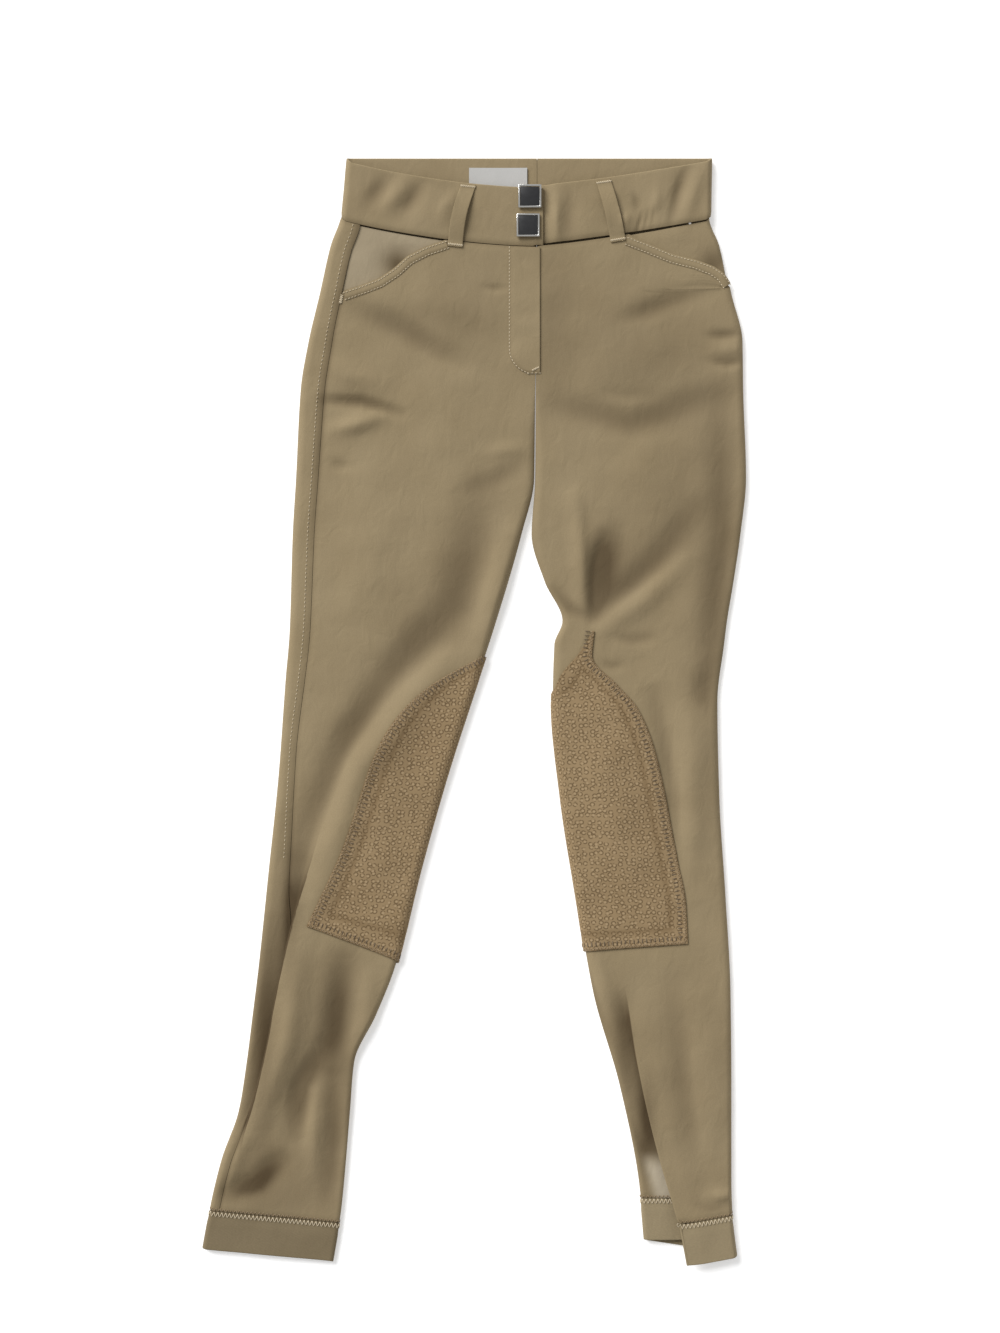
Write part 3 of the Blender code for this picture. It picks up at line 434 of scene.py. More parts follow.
def point(side, level, g, front_end=None):
    """The outer face of the cloth: level along the leg, and g round it.

    g runs from 0 at the outer fold over the front to 1 at the inner fold, and through
    negative values under the back to -1. front_end carries the waistband on past the
    centre.
    """
    level, g = np.broadcast_arrays(np.asarray(level, float), np.asarray(g, float))
    g = np.mod(g + 1.0, 2.0) - 1.0
    on_top = g >= 0
    a = np.abs(g)
    start = outer_x(side, level)
    dip = WAIST_DIP * ease(WAIST_LEVEL - DIP_FADE, WAIST_LEVEL, level)
    dip = np.where(on_top, dip, 0.0)
    y = level + dip * (1 - (1 - np.clip(a, 0.0, 1.0)) ** DIP_POWER[side])
    y = y + hem_offset(side, a, level, on_top)
    end_y = level + dip + hem_offset(side, np.ones_like(a), level, on_top)
    way = ACROSS[side]
    end = inner_x(side, end_y) - way * SEAM_GAP / 2
    if front_end is not None:
        end = np.where(on_top, front_end, end)
    width = np.abs(end - start)
    roll = roll_at(level)

    outer_turn = np.clip(a / ROLL_SHARE, 0, 1) * np.pi / 2
    inner_turn = np.clip((1 - a) / ROLL_SHARE, 0, 1) * np.pi / 2
    middle = np.clip((a - ROLL_SHARE) / (1 - 2 * ROLL_SHARE), 0, 1)
    closed = closing(level)
    inner_roll = roll * (0.5 + 0.5 * closed)
    across = (
        roll * (1 - np.cos(outer_turn))
        + middle * (width - roll - inner_roll)
        + inner_roll * np.cos(inner_turn)
    )
    flat_x = start + way * across
    rise = np.sin(outer_turn) * (1 - closed + closed * np.sin(inner_turn))
    top = top_height(flat_x, y, side, level, flat_x)
    under = under_lift(side, a, level, width)
    facing = np.where(on_top, top, under)
    z = FOLD_HEIGHT + (facing - FOLD_HEIGHT) * rise
    at, _, tuck = lip_at(side, level)
    t = (flat_x - at) / LIP_WIDTH
    drawn = TUCK_PEAK * tuck * t * np.exp(-t * t)
    x = np.where(on_top, flat_x - drawn, flat_x)
    return np.stack([x, y, z], axis=-1)


GIRTH_STEP = 0.003


def normal_at(side, level, g, front_end=None):
    """The cloth's outward normal, from its slope half a millimetre and a small girth away."""
    along = point(side, level + 0.5, g, front_end) - point(side, level - 0.5, g, front_end)
    inside = np.clip(np.mod(g + 1.0, 2.0) - 1.0, -0.9999, 0.9999)
    low, high = inside - GIRTH_STEP, inside + GIRTH_STEP
    apart = closing(np.asarray(level, float)) < 0.5
    low = np.where(apart, np.maximum(low, -1.0 + 1e-6), low)
    high = np.where(apart, np.minimum(high, 1.0 - 1e-6), high)
    around = point(side, level, high, front_end) - point(side, level, low, front_end)
    normal = np.cross(around, along)
    normal /= np.linalg.norm(normal, axis=-1, keepdims=True)
    return -normal if side == "left" else normal


def moved_out(side, level, g, distance, front_end=None):
    """Points of the cloth moved out along its normal; inwards if negative."""
    away = normal_at(side, level, g, front_end) * np.asarray(distance)[..., None]
    return point(side, level, g, front_end) + away


def girth_on_top(side, level, x, front_end=None):
    """The girth on the front at a level whose point has this x, by bisection."""
    level, x = np.broadcast_arrays(np.asarray(level, float), np.asarray(x, float))
    low, high = np.zeros(x.shape), np.ones(x.shape) - 1e-6
    for _ in range(24):
        middle = (low + high) / 2
        beyond = ACROSS[side] * (point(side, level, middle, front_end)[..., 0] - x) > 0
        high = np.where(beyond, middle, high)
        low = np.where(beyond, low, middle)
    return (low + high) / 2


def place_of(side, x, y):
    """The level and the girth of the front's point at x and y."""
    level = np.array(y, float)
    for _ in range(12):
        g = girth_on_top(side, level, x)
        level = level + y - point(side, level, g)[..., 1]
    return level, g


def outseam_girth(side, level):
    """The girth of the outseam: over nothing on the front, under it on the back."""
    inset = smooth(OUTSEAM[side], OUTSEAM_COLUMNS, "inset", level)
    roll = roll_at(level)
    beyond = (np.abs(inset) - roll) / (width_at(side, level) - 2 * roll)
    return np.sign(inset) * (ROLL_SHARE + (1 - 2 * ROLL_SHARE) * beyond)


def near(distance):
    """1 at a seam, fading to 0 a few millimetres from it."""
    return np.exp(-((distance / SEAM_REACH) ** 2))


def rounded(distance, radius):
    """How far a face draws in towards an edge that is rounded off."""
    return radius - np.sqrt(radius**2 - (radius - np.clip(distance, 0, radius)) ** 2)


def face_outwards(mesh):
    """Turn a closed mesh's faces to point out."""
    build = bmesh.new()
    build.from_mesh(mesh)
    bmesh.ops.recalc_face_normals(build, faces=build.faces)
    build.to_mesh(mesh)
    build.free()


def sewn_on(name, mesh, material):
    """The mesh as a piece of the garment, shaded smooth and riding with it."""
    mesh.materials.append(material)
    mesh.shade_smooth()
    piece = bpy.data.objects.new(name, mesh)
    bpy.context.scene.collection.objects.link(piece)
    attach(piece, "root")
    return piece


def stands_for(node_name):
    """The piece takes a plain solid's place, which is hidden."""
    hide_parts(node_name)


def cloth(name, outer, inner, uv, material, ring=False, **marks):
    """A closed sheet between two grids of points, with its own lengths as its UV map.

    marks are values kept at every point for the material, such as the share of shade painted into
    the colour, with darker seam lines.
    """
    rows, columns = outer.shape[:2]
    count = rows * columns
    index = np.arange(count).reshape(rows, columns)
    if ring:
        index = np.concatenate([index, index[:, :1]], axis=1)
    a, b = index[:-1, :-1].ravel(), index[:-1, 1:].ravel()
    c, d = index[1:, 1:].ravel(), index[1:, :-1].ravel()
    faces = [np.stack([a, b, c, d], 1), np.stack([d, c, b, a], 1) + count]
    for edge in (index[0], index[-1][::-1]):
        faces.append(np.stack([edge[1:], edge[:-1], edge[:-1] + count, edge[1:] + count], 1))
    if not ring:
        for edge in (index[::-1, 0], index[:, -1]):
            faces.append(
                np.stack([edge[1:], edge[:-1], edge[:-1] + count, edge[1:] + count], 1)
            )
    faces = np.concatenate(faces)
    points = np.concatenate([outer.reshape(-1, 3), inner.reshape(-1, 3)]) * MM
    mesh = bpy.data.meshes.new(name)
    mesh.from_pydata(points.tolist(), [], faces.tolist())
    layer = mesh.uv_layers.new(name="lengths")
    flat = np.concatenate([uv.reshape(-1, 2)] * 2) * MM
    layer.data.foreach_set("uv", flat[faces.ravel()].ravel())
    face_outwards(mesh)
    for mark in ("hollow", "wrong_side"):
        value = np.broadcast_to(marks.get(mark, 0.0), outer.shape[:2]).ravel()
        kept = mesh.attributes.new(mark, "FLOAT", "POINT")
        kept.data.foreach_set("value", np.concatenate([value, value]))
    piece = sewn_on(name, mesh, material)
    mesh.set_sharp_from_angle(angle=math.radians(55))
    return piece


def leg_sheet(name, side, level, g, thickness, material, lift=0.0, edge=0.0, front_end=None,
              ring=False, **marks):
    """A sheet through the rings of a leg, lifted off them; edge thins it from each face."""
    across = g * width_at(side, level) * ACROSS[side]
    uv = np.stack([across, level + 0 * g], axis=-1)
    outer = moved_out(side, level, g, 0 * g + lift - edge, front_end)
    inner = moved_out(side, level, g, 0 * g + lift - thickness + edge, front_end)
    return cloth(name, outer, inner, uv, material, ring, **marks)


def group(name, inputs, outputs):
    """An empty shader node group with these named sockets."""
    tree = bpy.data.node_groups.new(name, "ShaderNodeTree")
    for label, kind, default in inputs:
        socket = tree.interface.new_socket(name=label, in_out="INPUT", socket_type=kind)
        if default is not None:
            socket.default_value = default
    for label, kind in outputs:
        tree.interface.new_socket(name=label, in_out="OUTPUT", socket_type=kind)
    return tree


def node(tree, kind, inputs=(), **settings):
    """A node with its settings, and its inputs given as values or as sockets."""
    made = tree.nodes.new(kind)
    for key, value in settings.items():
        setattr(made, key, value)
    for key, value in dict(inputs).items():
        if isinstance(value, bpy.types.NodeSocket):
            tree.links.new(value, made.inputs[key])
        else:
            made.inputs[key].default_value = value
    return made


def mixed(tree, share, first, second):
    """The first colour where share is 0, and the second where it is 1."""
    return node(tree, "ShaderNodeMix", {0: share, 6: first, 7: second}, data_type="RGBA")


def weave_group():
    """A twill: fine slanted ribs crossed by picks, with uneven yarns."""
    tree = group(
        "twill_weave",
        (("Vector", "NodeSocketVector", None), ("Rib", "NodeSocketFloat", 0.0008)),
        (("Height", "NodeSocketFloat"), ("Yarn", "NodeSocketFloat")),
    )
    enter = node(tree, "NodeGroupInput")
    leave = node(tree, "NodeGroupOutput")
    turn = node(tree, "ShaderNodeMapping", {"Vector": enter.outputs["Vector"],
                                            "Rotation": (0, 0, math.radians(63))})
    per_rib = node(tree, "ShaderNodeMath", {0: 1.0, 1: enter.outputs["Rib"]}, operation="DIVIDE")
    scaled = node(tree, "ShaderNodeVectorMath", {0: turn.outputs[0], "Scale": per_rib.outputs[0]},
                  operation="SCALE")
    ribs = node(tree, "ShaderNodeTexWave", {"Vector": scaled.outputs[0], "Scale": 0.314,
                                            "Distortion": 0.6, "Detail": 1.0},
                wave_type="BANDS", bands_direction="X")
    yarn = node(tree, "ShaderNodeTexNoise", {"Vector": scaled.outputs[0], "Scale": 0.9,
                                             "Detail": 2.0})
    both = node(tree, "ShaderNodeMath", {0: ribs.outputs["Fac"], 1: yarn.outputs["Fac"]},
                operation="MULTIPLY")
    tree.links.new(both.outputs[0], leave.inputs["Height"])
    tree.links.new(yarn.outputs["Fac"], leave.inputs["Yarn"])
    return tree


def mottle_group():
    """Soft patches where the dye has faded, and small rumples of worn cotton."""
    tree = group(
        "worn_mottle",
        (("Vector", "NodeSocketVector", None), ("Size", "NodeSocketFloat", 0.05)),
        (("Fade", "NodeSocketFloat"), ("Rumple", "NodeSocketFloat")),
    )
    enter = node(tree, "NodeGroupInput")
    leave = node(tree, "NodeGroupOutput")
    per = node(tree, "ShaderNodeMath", {0: 1.0, 1: enter.outputs["Size"]}, operation="DIVIDE")
    scaled = node(tree, "ShaderNodeVectorMath", {0: enter.outputs["Vector"],
                                                 "Scale": per.outputs[0]}, operation="SCALE")
    fade = node(tree, "ShaderNodeTexNoise", {"Vector": scaled.outputs[0], "Scale": 1.0,
                                             "Detail": 4.0, "Roughness": 0.6})
    stretch = node(tree, "ShaderNodeMapping", {"Vector": scaled.outputs[0],
                                               "Scale": (5.0, 3.2, 5.0)})
    rumple = node(tree, "ShaderNodeTexNoise", {"Vector": stretch.outputs[0], "Scale": 1.0,
                                               "Detail": 3.0, "Roughness": 0.5,
                                               "Distortion": 0.6})
    tree.links.new(fade.outputs["Fac"], leave.inputs["Fade"])
    tree.links.new(rumple.outputs["Fac"], leave.inputs["Rumple"])
    return tree


WEAVE = weave_group()
MOTTLE = mottle_group()


def placed(tree, shared, inputs):
    """A shared group placed in a material's tree, with its values."""
    return node(tree, "ShaderNodeGroup", inputs, node_tree=shared)


def new_material(name, sockets):
    """A material, its tree and its shader, with these values on the shader's sockets."""
    material = bpy.data.materials.new(name)
    material.use_nodes = True
    shader = material.node_tree.nodes["Principled BSDF"]
    for key, value in sockets.items():
        shader.inputs[key].default_value = value
    return material, material.node_tree, shader


WRONG_SIDE_TONE = (0.42, 0.365, 0.275, 1)


def cloth_material(name, light, dark, rib=0.0008, sheen=0.25, rumple=0.0012, roughness=0.82):
    """Woven cotton: weave and rumples as bump, colour that varies with wear, and shade painted
    into the colour where the mark asks for it.
    """
    material, tree, shader = new_material(name, {
        "Sheen Weight": sheen, "Sheen Roughness": 0.45, "Sheen Tint": (*light, 1.0),
        "Specular IOR Level": 0.25,
    })
    uv = node(tree, "ShaderNodeUVMap", uv_map="lengths")
    place = node(tree, "ShaderNodeTexCoord")
    weave = placed(tree, WEAVE, {"Vector": uv.outputs["UV"], "Rib": rib})
    mottle = placed(tree, MOTTLE, {"Vector": place.outputs["Object"], "Size": 0.06})
    tone = mixed(tree, mottle.outputs["Fade"], (*dark, 1), (*light, 1))
    yarn = node(tree, "ShaderNodeMapRange", {0: weave.outputs["Yarn"], 1: 0.3, 2: 0.7,
                                             3: 0.93, 4: 1.05})
    colour = node(tree, "ShaderNodeVectorMath", {0: tone.outputs[2], "Scale": yarn.outputs[0]},
                  operation="SCALE")
    # Shade is painted into the colour here: the per-point mark mixes it towards a dark tone
    mark = node(tree, "ShaderNodeAttribute", attribute_name="hollow")
    deep = node(tree, "ShaderNodeMapRange", {0: mark.outputs["Fac"], 3: 0.0, 4: 0.9})
    painted_shade_tone = (0.20 * dark[0], 0.155 * dark[1], 0.10 * dark[2], 1)
    wear_and_painted_shade = mixed(tree, deep.outputs[0], colour.outputs[0], painted_shade_tone)
    turned_out = node(tree, "ShaderNodeAttribute", attribute_name="wrong_side")
    seen = mixed(tree, turned_out.outputs["Fac"], wear_and_painted_shade.outputs[2], WRONG_SIDE_TONE)
    tree.links.new(seen.outputs[2], shader.inputs["Base Color"])
    rough = node(tree, "ShaderNodeMapRange", {0: mottle.outputs["Fade"], 3: roughness + 0.08,
                                              4: roughness - 0.05})
    tree.links.new(rough.outputs[0], shader.inputs["Roughness"])
    soft = node(tree, "ShaderNodeBump", {"Height": mottle.outputs["Rumple"], "Distance": rumple,
                                         "Strength": 0.6})
    fine = node(tree, "ShaderNodeBump", {"Height": weave.outputs["Height"], "Distance": 0.0002,
                                         "Strength": 0.35, "Normal": soft.outputs[0]})
    tree.links.new(fine.outputs[0], shader.inputs["Normal"])
    return material


TWILL_LIGHT = (0.300, 0.234, 0.137)
TWILL_DARK = (0.238, 0.180, 0.099)
twill = cloth_material("stretch_twill", TWILL_LIGHT, TWILL_DARK)

# Pocket mouths, from the waist seam to the side: the fronts are cut away above them
POCKET = {
    "right": ((-24.7, 407.0), (-42.5, 401.0), (-58.0, 393.0), (-69.4, 382.5),
              (-82.7, 373.7), (-95.4, 368.8), (-113.0, 363.0)),
    "left": ((134.0, 410.0), (152.6, 403.0), (172.5, 394.8), (192.5, 389.8),
             (207.6, 384.1), (216.5, 378.0), (222.0, 370.0)),
}
POCKET_RUN_OUT = 4.0


def pocket_line(side, count):
    """Evenly spaced points of the pocket mouth, as x and y."""
    line = np.array(POCKET[side])
    run = np.concatenate([[0], np.cumsum(np.hypot(*np.diff(line, axis=0).T))])
    at = np.linspace(0, run[-1], count)
    return np.stack([np.interp(at, run, line[:, i]) for i in (0, 1)], axis=-1)


def pocket_mouth(side, count=25):
    """The pocket mouth as levels and girths, from the waist seam to the outseam."""
    line = pocket_line(side, count)
    level, g = place_of(side, line[:, 0], line[:, 1])
    level[0] = WAIST_LEVEL
    level = np.append(level, level[-1] - POCKET_RUN_OUT)
    return level, np.append(g, outseam_girth(side, level[-1]))


def columns_between(side, level, first, last, count, gather=5.0, lip_share=None):
    """Columns from first to last in each row, closer at the folds and at the lip.

    lip_share keeps the lip on the same column in every row, so that its edge is clean.
    """
    lip = girth_of_x(side, level, lip_at(side, level)[0])[:, None]
    g = first[:, None] + (last - first)[:, None] * np.linspace(0.0, 1.0, 600)[None, :]
    turned = np.mod(g + 1.0, 2.0) - 1.0
    at_fold = 5.0 * (np.abs(turned) < 0.1) + 2.0 * (np.abs(turned) > 0.9)
    at_lip = gather * np.exp(-(((turned - lip) / 0.07) ** 2))
    run = np.cumsum(1.0 + at_fold + at_lip, axis=1)
    run = (run - run[:, :1]) / (run[:, -1:] - run[:, :1])
    even = np.linspace(0.0, 1.0, count)
    if lip_share is None:
        return np.stack([np.interp(even, r, row) for r, row in zip(run, g)])
    at = [float(np.clip(np.interp(x, row, r), 0.2, 0.8)) for x, row, r in zip(lip[:, 0], g, run)]
    return np.stack([np.interp(np.interp(even, (0.0, lip_share, 1.0), (0.0, x, 1.0)), r, row)
                     for x, r, row in zip(at, run, g)])


PANEL_ROWS = 300
PANEL_COLUMNS = {"front": 111, "back": 76}
LIP_SHARE = {"right": 0.4, "left": 0.6}
NO_POCKET = -9.0
# Small puckers that come and go beside the outseam: height, and how far from it
PUCKER = 0.16
PUCKER_INSET, PUCKER_REACH = 5.0, 3.4
# Shade painted into creases: the depth in millimetres that gives a full share, and the most any
# crease gets
CREASE_SHADE, CREASE_DARKEST = 8.0, 0.6


def painted_shade_at(x, y):
    """How much shade is painted into the cloth at a point, from the table of painted shades."""
    total = np.zeros(np.broadcast(x, y).shape)
    for middle_x, middle_y, reach_x, reach_y, amount in PAINTED_SHADES:
        off = ((x - middle_x) / reach_x) ** 2 + ((y - middle_y) / reach_y) ** 2
        total = total + amount * np.exp(-off)
    return total


# Half a seam's gap, as a girth of the round fold
edge_gap = SEAM_GAP / 2 / (math.pi / 2 * (FOLD_HEIGHT + 1.0)) * ROLL_SHARE
# How far the painted shade runs in under each lip, and how pale the wrong side is at the left hem
FOLD_SHADE = {"right": 17.0, "left": 15.0}
WRONG_SIDE = 0.75
WRONG_SIDE_FROM = (-390.0, -411.0)
for side in ("right", "left"):
    level = np.linspace(WAIST_LEVEL - SEAM_GAP / 2, CUFF_LEVEL[side] + SEAM_GAP / 2, PANEL_ROWS)
    half = SEAM_GAP / 2 / width_at(side, level)
    seam = outseam_girth(side, level)
    mouth_level, mouth_g = pocket_mouth(side)
    mouth = np.interp(level, mouth_level[::-1], mouth_g[::-1], left=NO_POCKET)
    spans = {
        "front": (np.maximum(seam + half, mouth), 1 - edge_gap + 0 * level),
        "back": (-1 + edge_gap + 0 * level, seam - half),
    }
    for which, (first, last) in spans.items():
        name = f"{which}_{side}"
        g = columns_between(side, level, first, last, PANEL_COLUMNS[which],
                            lip_share=LIP_SHARE[side] if which == "front" else None)
        rows = level[:, None] + 0 * g
        width = width_at(side, rows)
        at_seam = near((g - seam[:, None]) * width) + near((1 - np.abs(g)) * width)
        at_ends = near(WAIST_LEVEL - rows) + near(rows - CUFF_LEVEL[side])
        sunk = np.minimum(at_seam + at_ends, 1.0)
        place = point(side, rows, g)
        x, y = place[..., 0], place[..., 1]
        # Shade painted into the cloth in its creases and its broad shaded areas
        painted_shading = np.clip(-folds(x, y) / CREASE_SHADE, 0.0, CREASE_DARKEST) + painted_shade_at(x, y)
        at, drop, _ = lip_at(side, rows)
        flat_x = outer_x(side, rows) + (g - ROLL_SHARE) / (1 - 2 * ROLL_SHARE) * (
            inner_x(side, rows) - outer_x(side, rows))
        # Shade painted into the cloth beside each lip, where the front laps over it
        within = np.maximum(at - 1.0 - flat_x, 0.0) / FOLD_SHADE[side]
        lapped = ease(0.1, 2.6, drop) * np.exp(-(within**1.5)) * (flat_x < at + 0.5)
        in_seam = (g - seam[:, None]) * width
        ladder = np.sin(0.92 * rows + 1.4 * np.sin(rows / 17.0)) * np.sin(rows / 41.0 + 1.0) ** 2
        beside = (np.abs(in_seam) - PUCKER_INSET) / PUCKER_REACH
        puckers = PUCKER * ladder * np.exp(-(beside**2))
        pressed = folds(x, y, BACK_FOLDS) * ease(-0.02, -0.12, g)
        pale = WRONG_SIDE * (side == "left") * (which == "front") * ease(*WRONG_SIDE_FROM, rows)
        pale = pale * ease(at - 3.0, at - 9.0, flat_x) * ease(at - 30.0, at - 17.0, flat_x)
        at_outseam = 0.3 * near(in_seam) * ease(120.0, 240.0, rows) * (side == "right")
        piece = leg_sheet(
            f"twill_{name}", side, rows, g, TWILL, twill,
            lift=puckers * (side == "right") + pressed - SEAM_SINK * sunk,
            # Shade painted into the front's creases, broad areas and lips and into the back's
            # hollows; the seams are darker lines
            hollow=np.clip((painted_shading + 0.95 * lapped) * (g > 0) * (1 - pale) + 0.28 * sunk
                           + at_outseam - 0.25 * pressed, 0.0, 1.0),
            wrong_side=pale,
        )
        stands_for(name)

# ---------------------------------------------------------------------------
# Waistband. Two halves of doubled twill, seamed at the centre back. The right one ends in
# a square tab that laps over the left one and takes the snaps.
# ---------------------------------------------------------------------------
BAND_CLOTH = 2.4
BAND_EDGE = 1.0
TAB_END = 60.0
UNDERLAP_END = 36.0
UNDERLAP_DROP = BAND_CLOTH + SEAM_GAP
TAB_RISE = 1.2
BAND_ROLL = 0.35
# Creases and puffs of the band's front, as in FOLDS
BAND_FOLDS = (
    (-75.4, 458.6, -84.0, 448.0, -91.9, 437.0, 7.0, -1.3),
    (-45.1, 454.3, -53.0, 442.0, -61.6, 429.2, 7.0, -1.3),
    (-60.0, 456.0, -68.0, 444.0, -76.0, 433.0, 7.0, 1.0),
    (-14.0, 448.0, -24.0, 436.0, -30.0, 424.0, 6.0, 0.8),
    (138.7, 444.8, 141.0, 438.0, 143.0, 430.9, 3.5, -0.9),
    (182.9, 467.3, 176.0, 446.0, 170.8, 423.1, 5.0, -1.4),
    (196.0, 466.0, 190.0, 448.0, 184.0, 428.0, 6.0, 1.0),
    (83.2, 444.8, 82.0, 426.0, 83.2, 407.5, 7.0, -1.2),
    (72.0, 440.0, 71.0, 425.0, 72.0, 408.0, 4.5, 0.9),
    (128.0, 430.0, 131.0, 425.0, 131.0, 417.0, 5.0, 1.5),
    (146.0, 431.0, 143.5, 422.0, 141.0, 414.0, 1.9, -0.9),
    (151.0, 432.0, 149.0, 424.0, 147.0, 416.0, 1.9, -0.8),
    (156.5, 434.0, 154.5, 426.0, 153.0, 419.0, 1.9, -0.6),
    (160.0, 450.0, 157.0, 438.0, 155.0, 428.0, 5.0, 0.8),
)

for side in ("right", "left"):
    height = np.concatenate([np.linspace(0.15, BAND_HEIGHT - BAND_EDGE, 24),
                             BAND_HEIGHT - np.array([0.7, 0.45, 0.2, 0.05, 0.0])])
    level = WAIST_LEVEL + height
    front_end = TAB_END if side == "right" else UNDERLAP_END
    stops = np.array([-1 + 1e-6, -0.1, 0.1, 0.985, 0.999999])
    share = np.concatenate([
        np.linspace(a, b, n, endpoint=False)
        for a, b, n in zip(stops[:-1], stops[1:], (46, 18, 120, 8))
    ] + [stops[-1:]])
    g = share[None, :] + 0 * level[:, None]
    rows = level[:, None] + 0 * g
    base = point(side, rows, g, front_end)
    lift = folds(base[..., 0], base[..., 1], BAND_FOLDS) * (g > 0)
    lift = lift * ease(0.0, 6.0, BAND_HEIGHT - height)[:, None] ** 0.4
    lift = lift - SEAM_SINK * near(height - 0.15)[:, None]
    rolling = BAND_ROLL * np.sin(base[..., 0] / 11.0 + 0.8 * np.sin(base[..., 0] / 37.0))
    lift = lift + rolling * np.where(g > 0, 1.0, 0.0) * ease(0.0, 14.0, height)[:, None]
    to_end = np.where(g > 0, np.abs(front_end - base[..., 0]), 99.0)
    thin = np.maximum(rounded(BAND_HEIGHT - height, BAND_EDGE)[:, None], rounded(to_end, 0.9))
    outer = moved_out(side, rows, g, lift - thin, front_end)
    inner = moved_out(side, rows, g, lift - BAND_CLOTH + thin, front_end)
    for grid in (outer, inner):
        if side == "left":
            lapped = (g > 0) * ease(TAB_END + 12.0, TAB_END + 1.5, grid[..., 0])
            grid[..., 2] -= UNDERLAP_DROP * lapped
        else:
            past = (g > 0) * ease(CENTRE_X - 4.0, CENTRE_X + 0.5, grid[..., 0])
            grid[..., 1] += TAB_RISE * past * ease(9.0, 0.0, height)[:, None]
    across = g * width_at(side, rows) * ACROSS[side]
    uv = np.stack([rows + 0 * g, across], axis=-1)
    # Shade painted into the band's creases, and darker along its seam
    painted_shading = np.clip(-lift / CREASE_SHADE, 0.0, 1.0) + 0.25 * near(height - 0.15)[:, None]
    piece = cloth(f"twill_waistband_{side}", outer, inner, uv, twill,
                  hollow=np.clip(painted_shading, 0.0, 1.0))
    stands_for(f"waistband_{side}")

# ---------------------------------------------------------------------------
# Slant pockets. A hip piece shows in each scooped mouth, and the front's edge above it is
# turned in and held by two rows of stitching.
# ---------------------------------------------------------------------------
FACING_CLOTH = 1.0
POCKET_BAND_WIDTH = 8.5
POCKET_SUNK = TWILL + 0.8
POCKET_LAP = 9.0
BAND_SEAT = 0.25
THREAD_RADIUS = 0.34
# Where each mouth gapes: x, y, reach and depth
GAPE = {"right": (-66.0, 386.0, 13.0, 1.6), "left": (207.0, 386.0, 12.0, 1.2)}


def resample(points, ups, pitch):
    """Even places along a line, the way it runs there, and its up."""
    run = np.concatenate([[0.0], np.cumsum(np.linalg.norm(np.diff(points, axis=0), axis=1))])
    at = np.linspace(0.0, run[-1], max(int(run[-1] / pitch), 2) + 1)
    place = np.stack([np.interp(at, run, points[:, i]) for i in range(3)], axis=-1)
    up = np.stack([np.interp(at, run, ups[:, i]) for i in range(3)], axis=-1)
    up /= np.linalg.norm(up, axis=-1, keepdims=True)
    way = np.gradient(place, axis=0)
    return place, way / np.linalg.norm(way, axis=-1, keepdims=True), up


def running(points, ups, pitch, share=0.68):
    """A plain row of stitches along a line, as their starts, ends and ups."""
    place, way, up = resample(points, ups, pitch)
    return place - way * pitch * share / 2, place + way * pitch * share / 2, up


def zigzag(points, ups, pitch, width):
    """Stitches that run from side to side along a line."""
    place, way, up = resample(points, ups, pitch)
    aside = np.cross(up, way) * width / 2
    swing = place + aside * np.where(np.arange(len(place)) % 2, 1.0, -1.0)[:, None]
    return swing[:-1], swing[1:], up[:-1]


def rungs(points, ups, pitch, width):
    """Stitches straight across a line, side by side."""
    place, way, up = resample(points, ups, pitch)
    aside = np.cross(up, way) * width / 2
    return place - aside, place + aside, up


def thread(name, rows, material, radius=THREAD_RADIUS):
    """Stitches as short plump rods that dive into the cloth at both ends."""
    starts, ends, ups = (np.concatenate(part) for part in zip(*rows))
    way = ends - starts
    way = way / np.linalg.norm(way, axis=-1, keepdims=True)
    aside = np.cross(way, ups)
    aside /= np.linalg.norm(aside, axis=-1, keepdims=True)
    up = np.cross(aside, way)
    rings = []
    for share, plump, rise in ((0, 0.4, -0.7), (0.2, 0.9, 0.3), (0.8, 0.9, 0.3), (1, 0.4, -0.7)):
        centre = starts + (ends - starts) * share + up * radius * rise
        turn = np.arange(5) * 2 * np.pi / 5
        spoke = np.cos(turn)[:, None, None] * aside + np.sin(turn)[:, None, None] * up
        rings.append((centre + radius * plump * spoke).transpose(1, 0, 2))
    points = np.stack(rings, axis=1).reshape(-1, 3) * MM
    faces = []
    for base in range(0, len(points), 20):
        for ring in (0, 5, 10):
            for k in range(5):
                j = (k + 1) % 5
                faces.append([base + ring + k, base + ring + j,
                              base + ring + 5 + j, base + ring + 5 + k])
        faces.append([base + k for k in range(5)])
        faces.append([base + 15 + k for k in range(5)])
    mesh = bpy.data.meshes.new(name)
    mesh.from_pydata(points.tolist(), [], faces)
    face_outwards(mesh)
    piece = sewn_on(name, mesh, material)
    return piece


def thread_material(name, light, dark):
    """Spun thread: two tones along its length, with a soft shine."""
    material, tree, shader = new_material(name, {"Roughness": 0.6, "Sheen Weight": 0.3})
    place = node(tree, "ShaderNodeTexCoord")
    speck = node(tree, "ShaderNodeTexNoise", {"Vector": place.outputs["Object"], "Scale": 420.0,
                                              "Detail": 2.0})
    tone = mixed(tree, speck.outputs["Fac"], (*dark, 1), (*light, 1))
    tree.links.new(tone.outputs[2], shader.inputs["Base Color"])
    return material


tan_thread = thread_material("tan_thread", (0.68, 0.58, 0.41), (0.50, 0.41, 0.27))

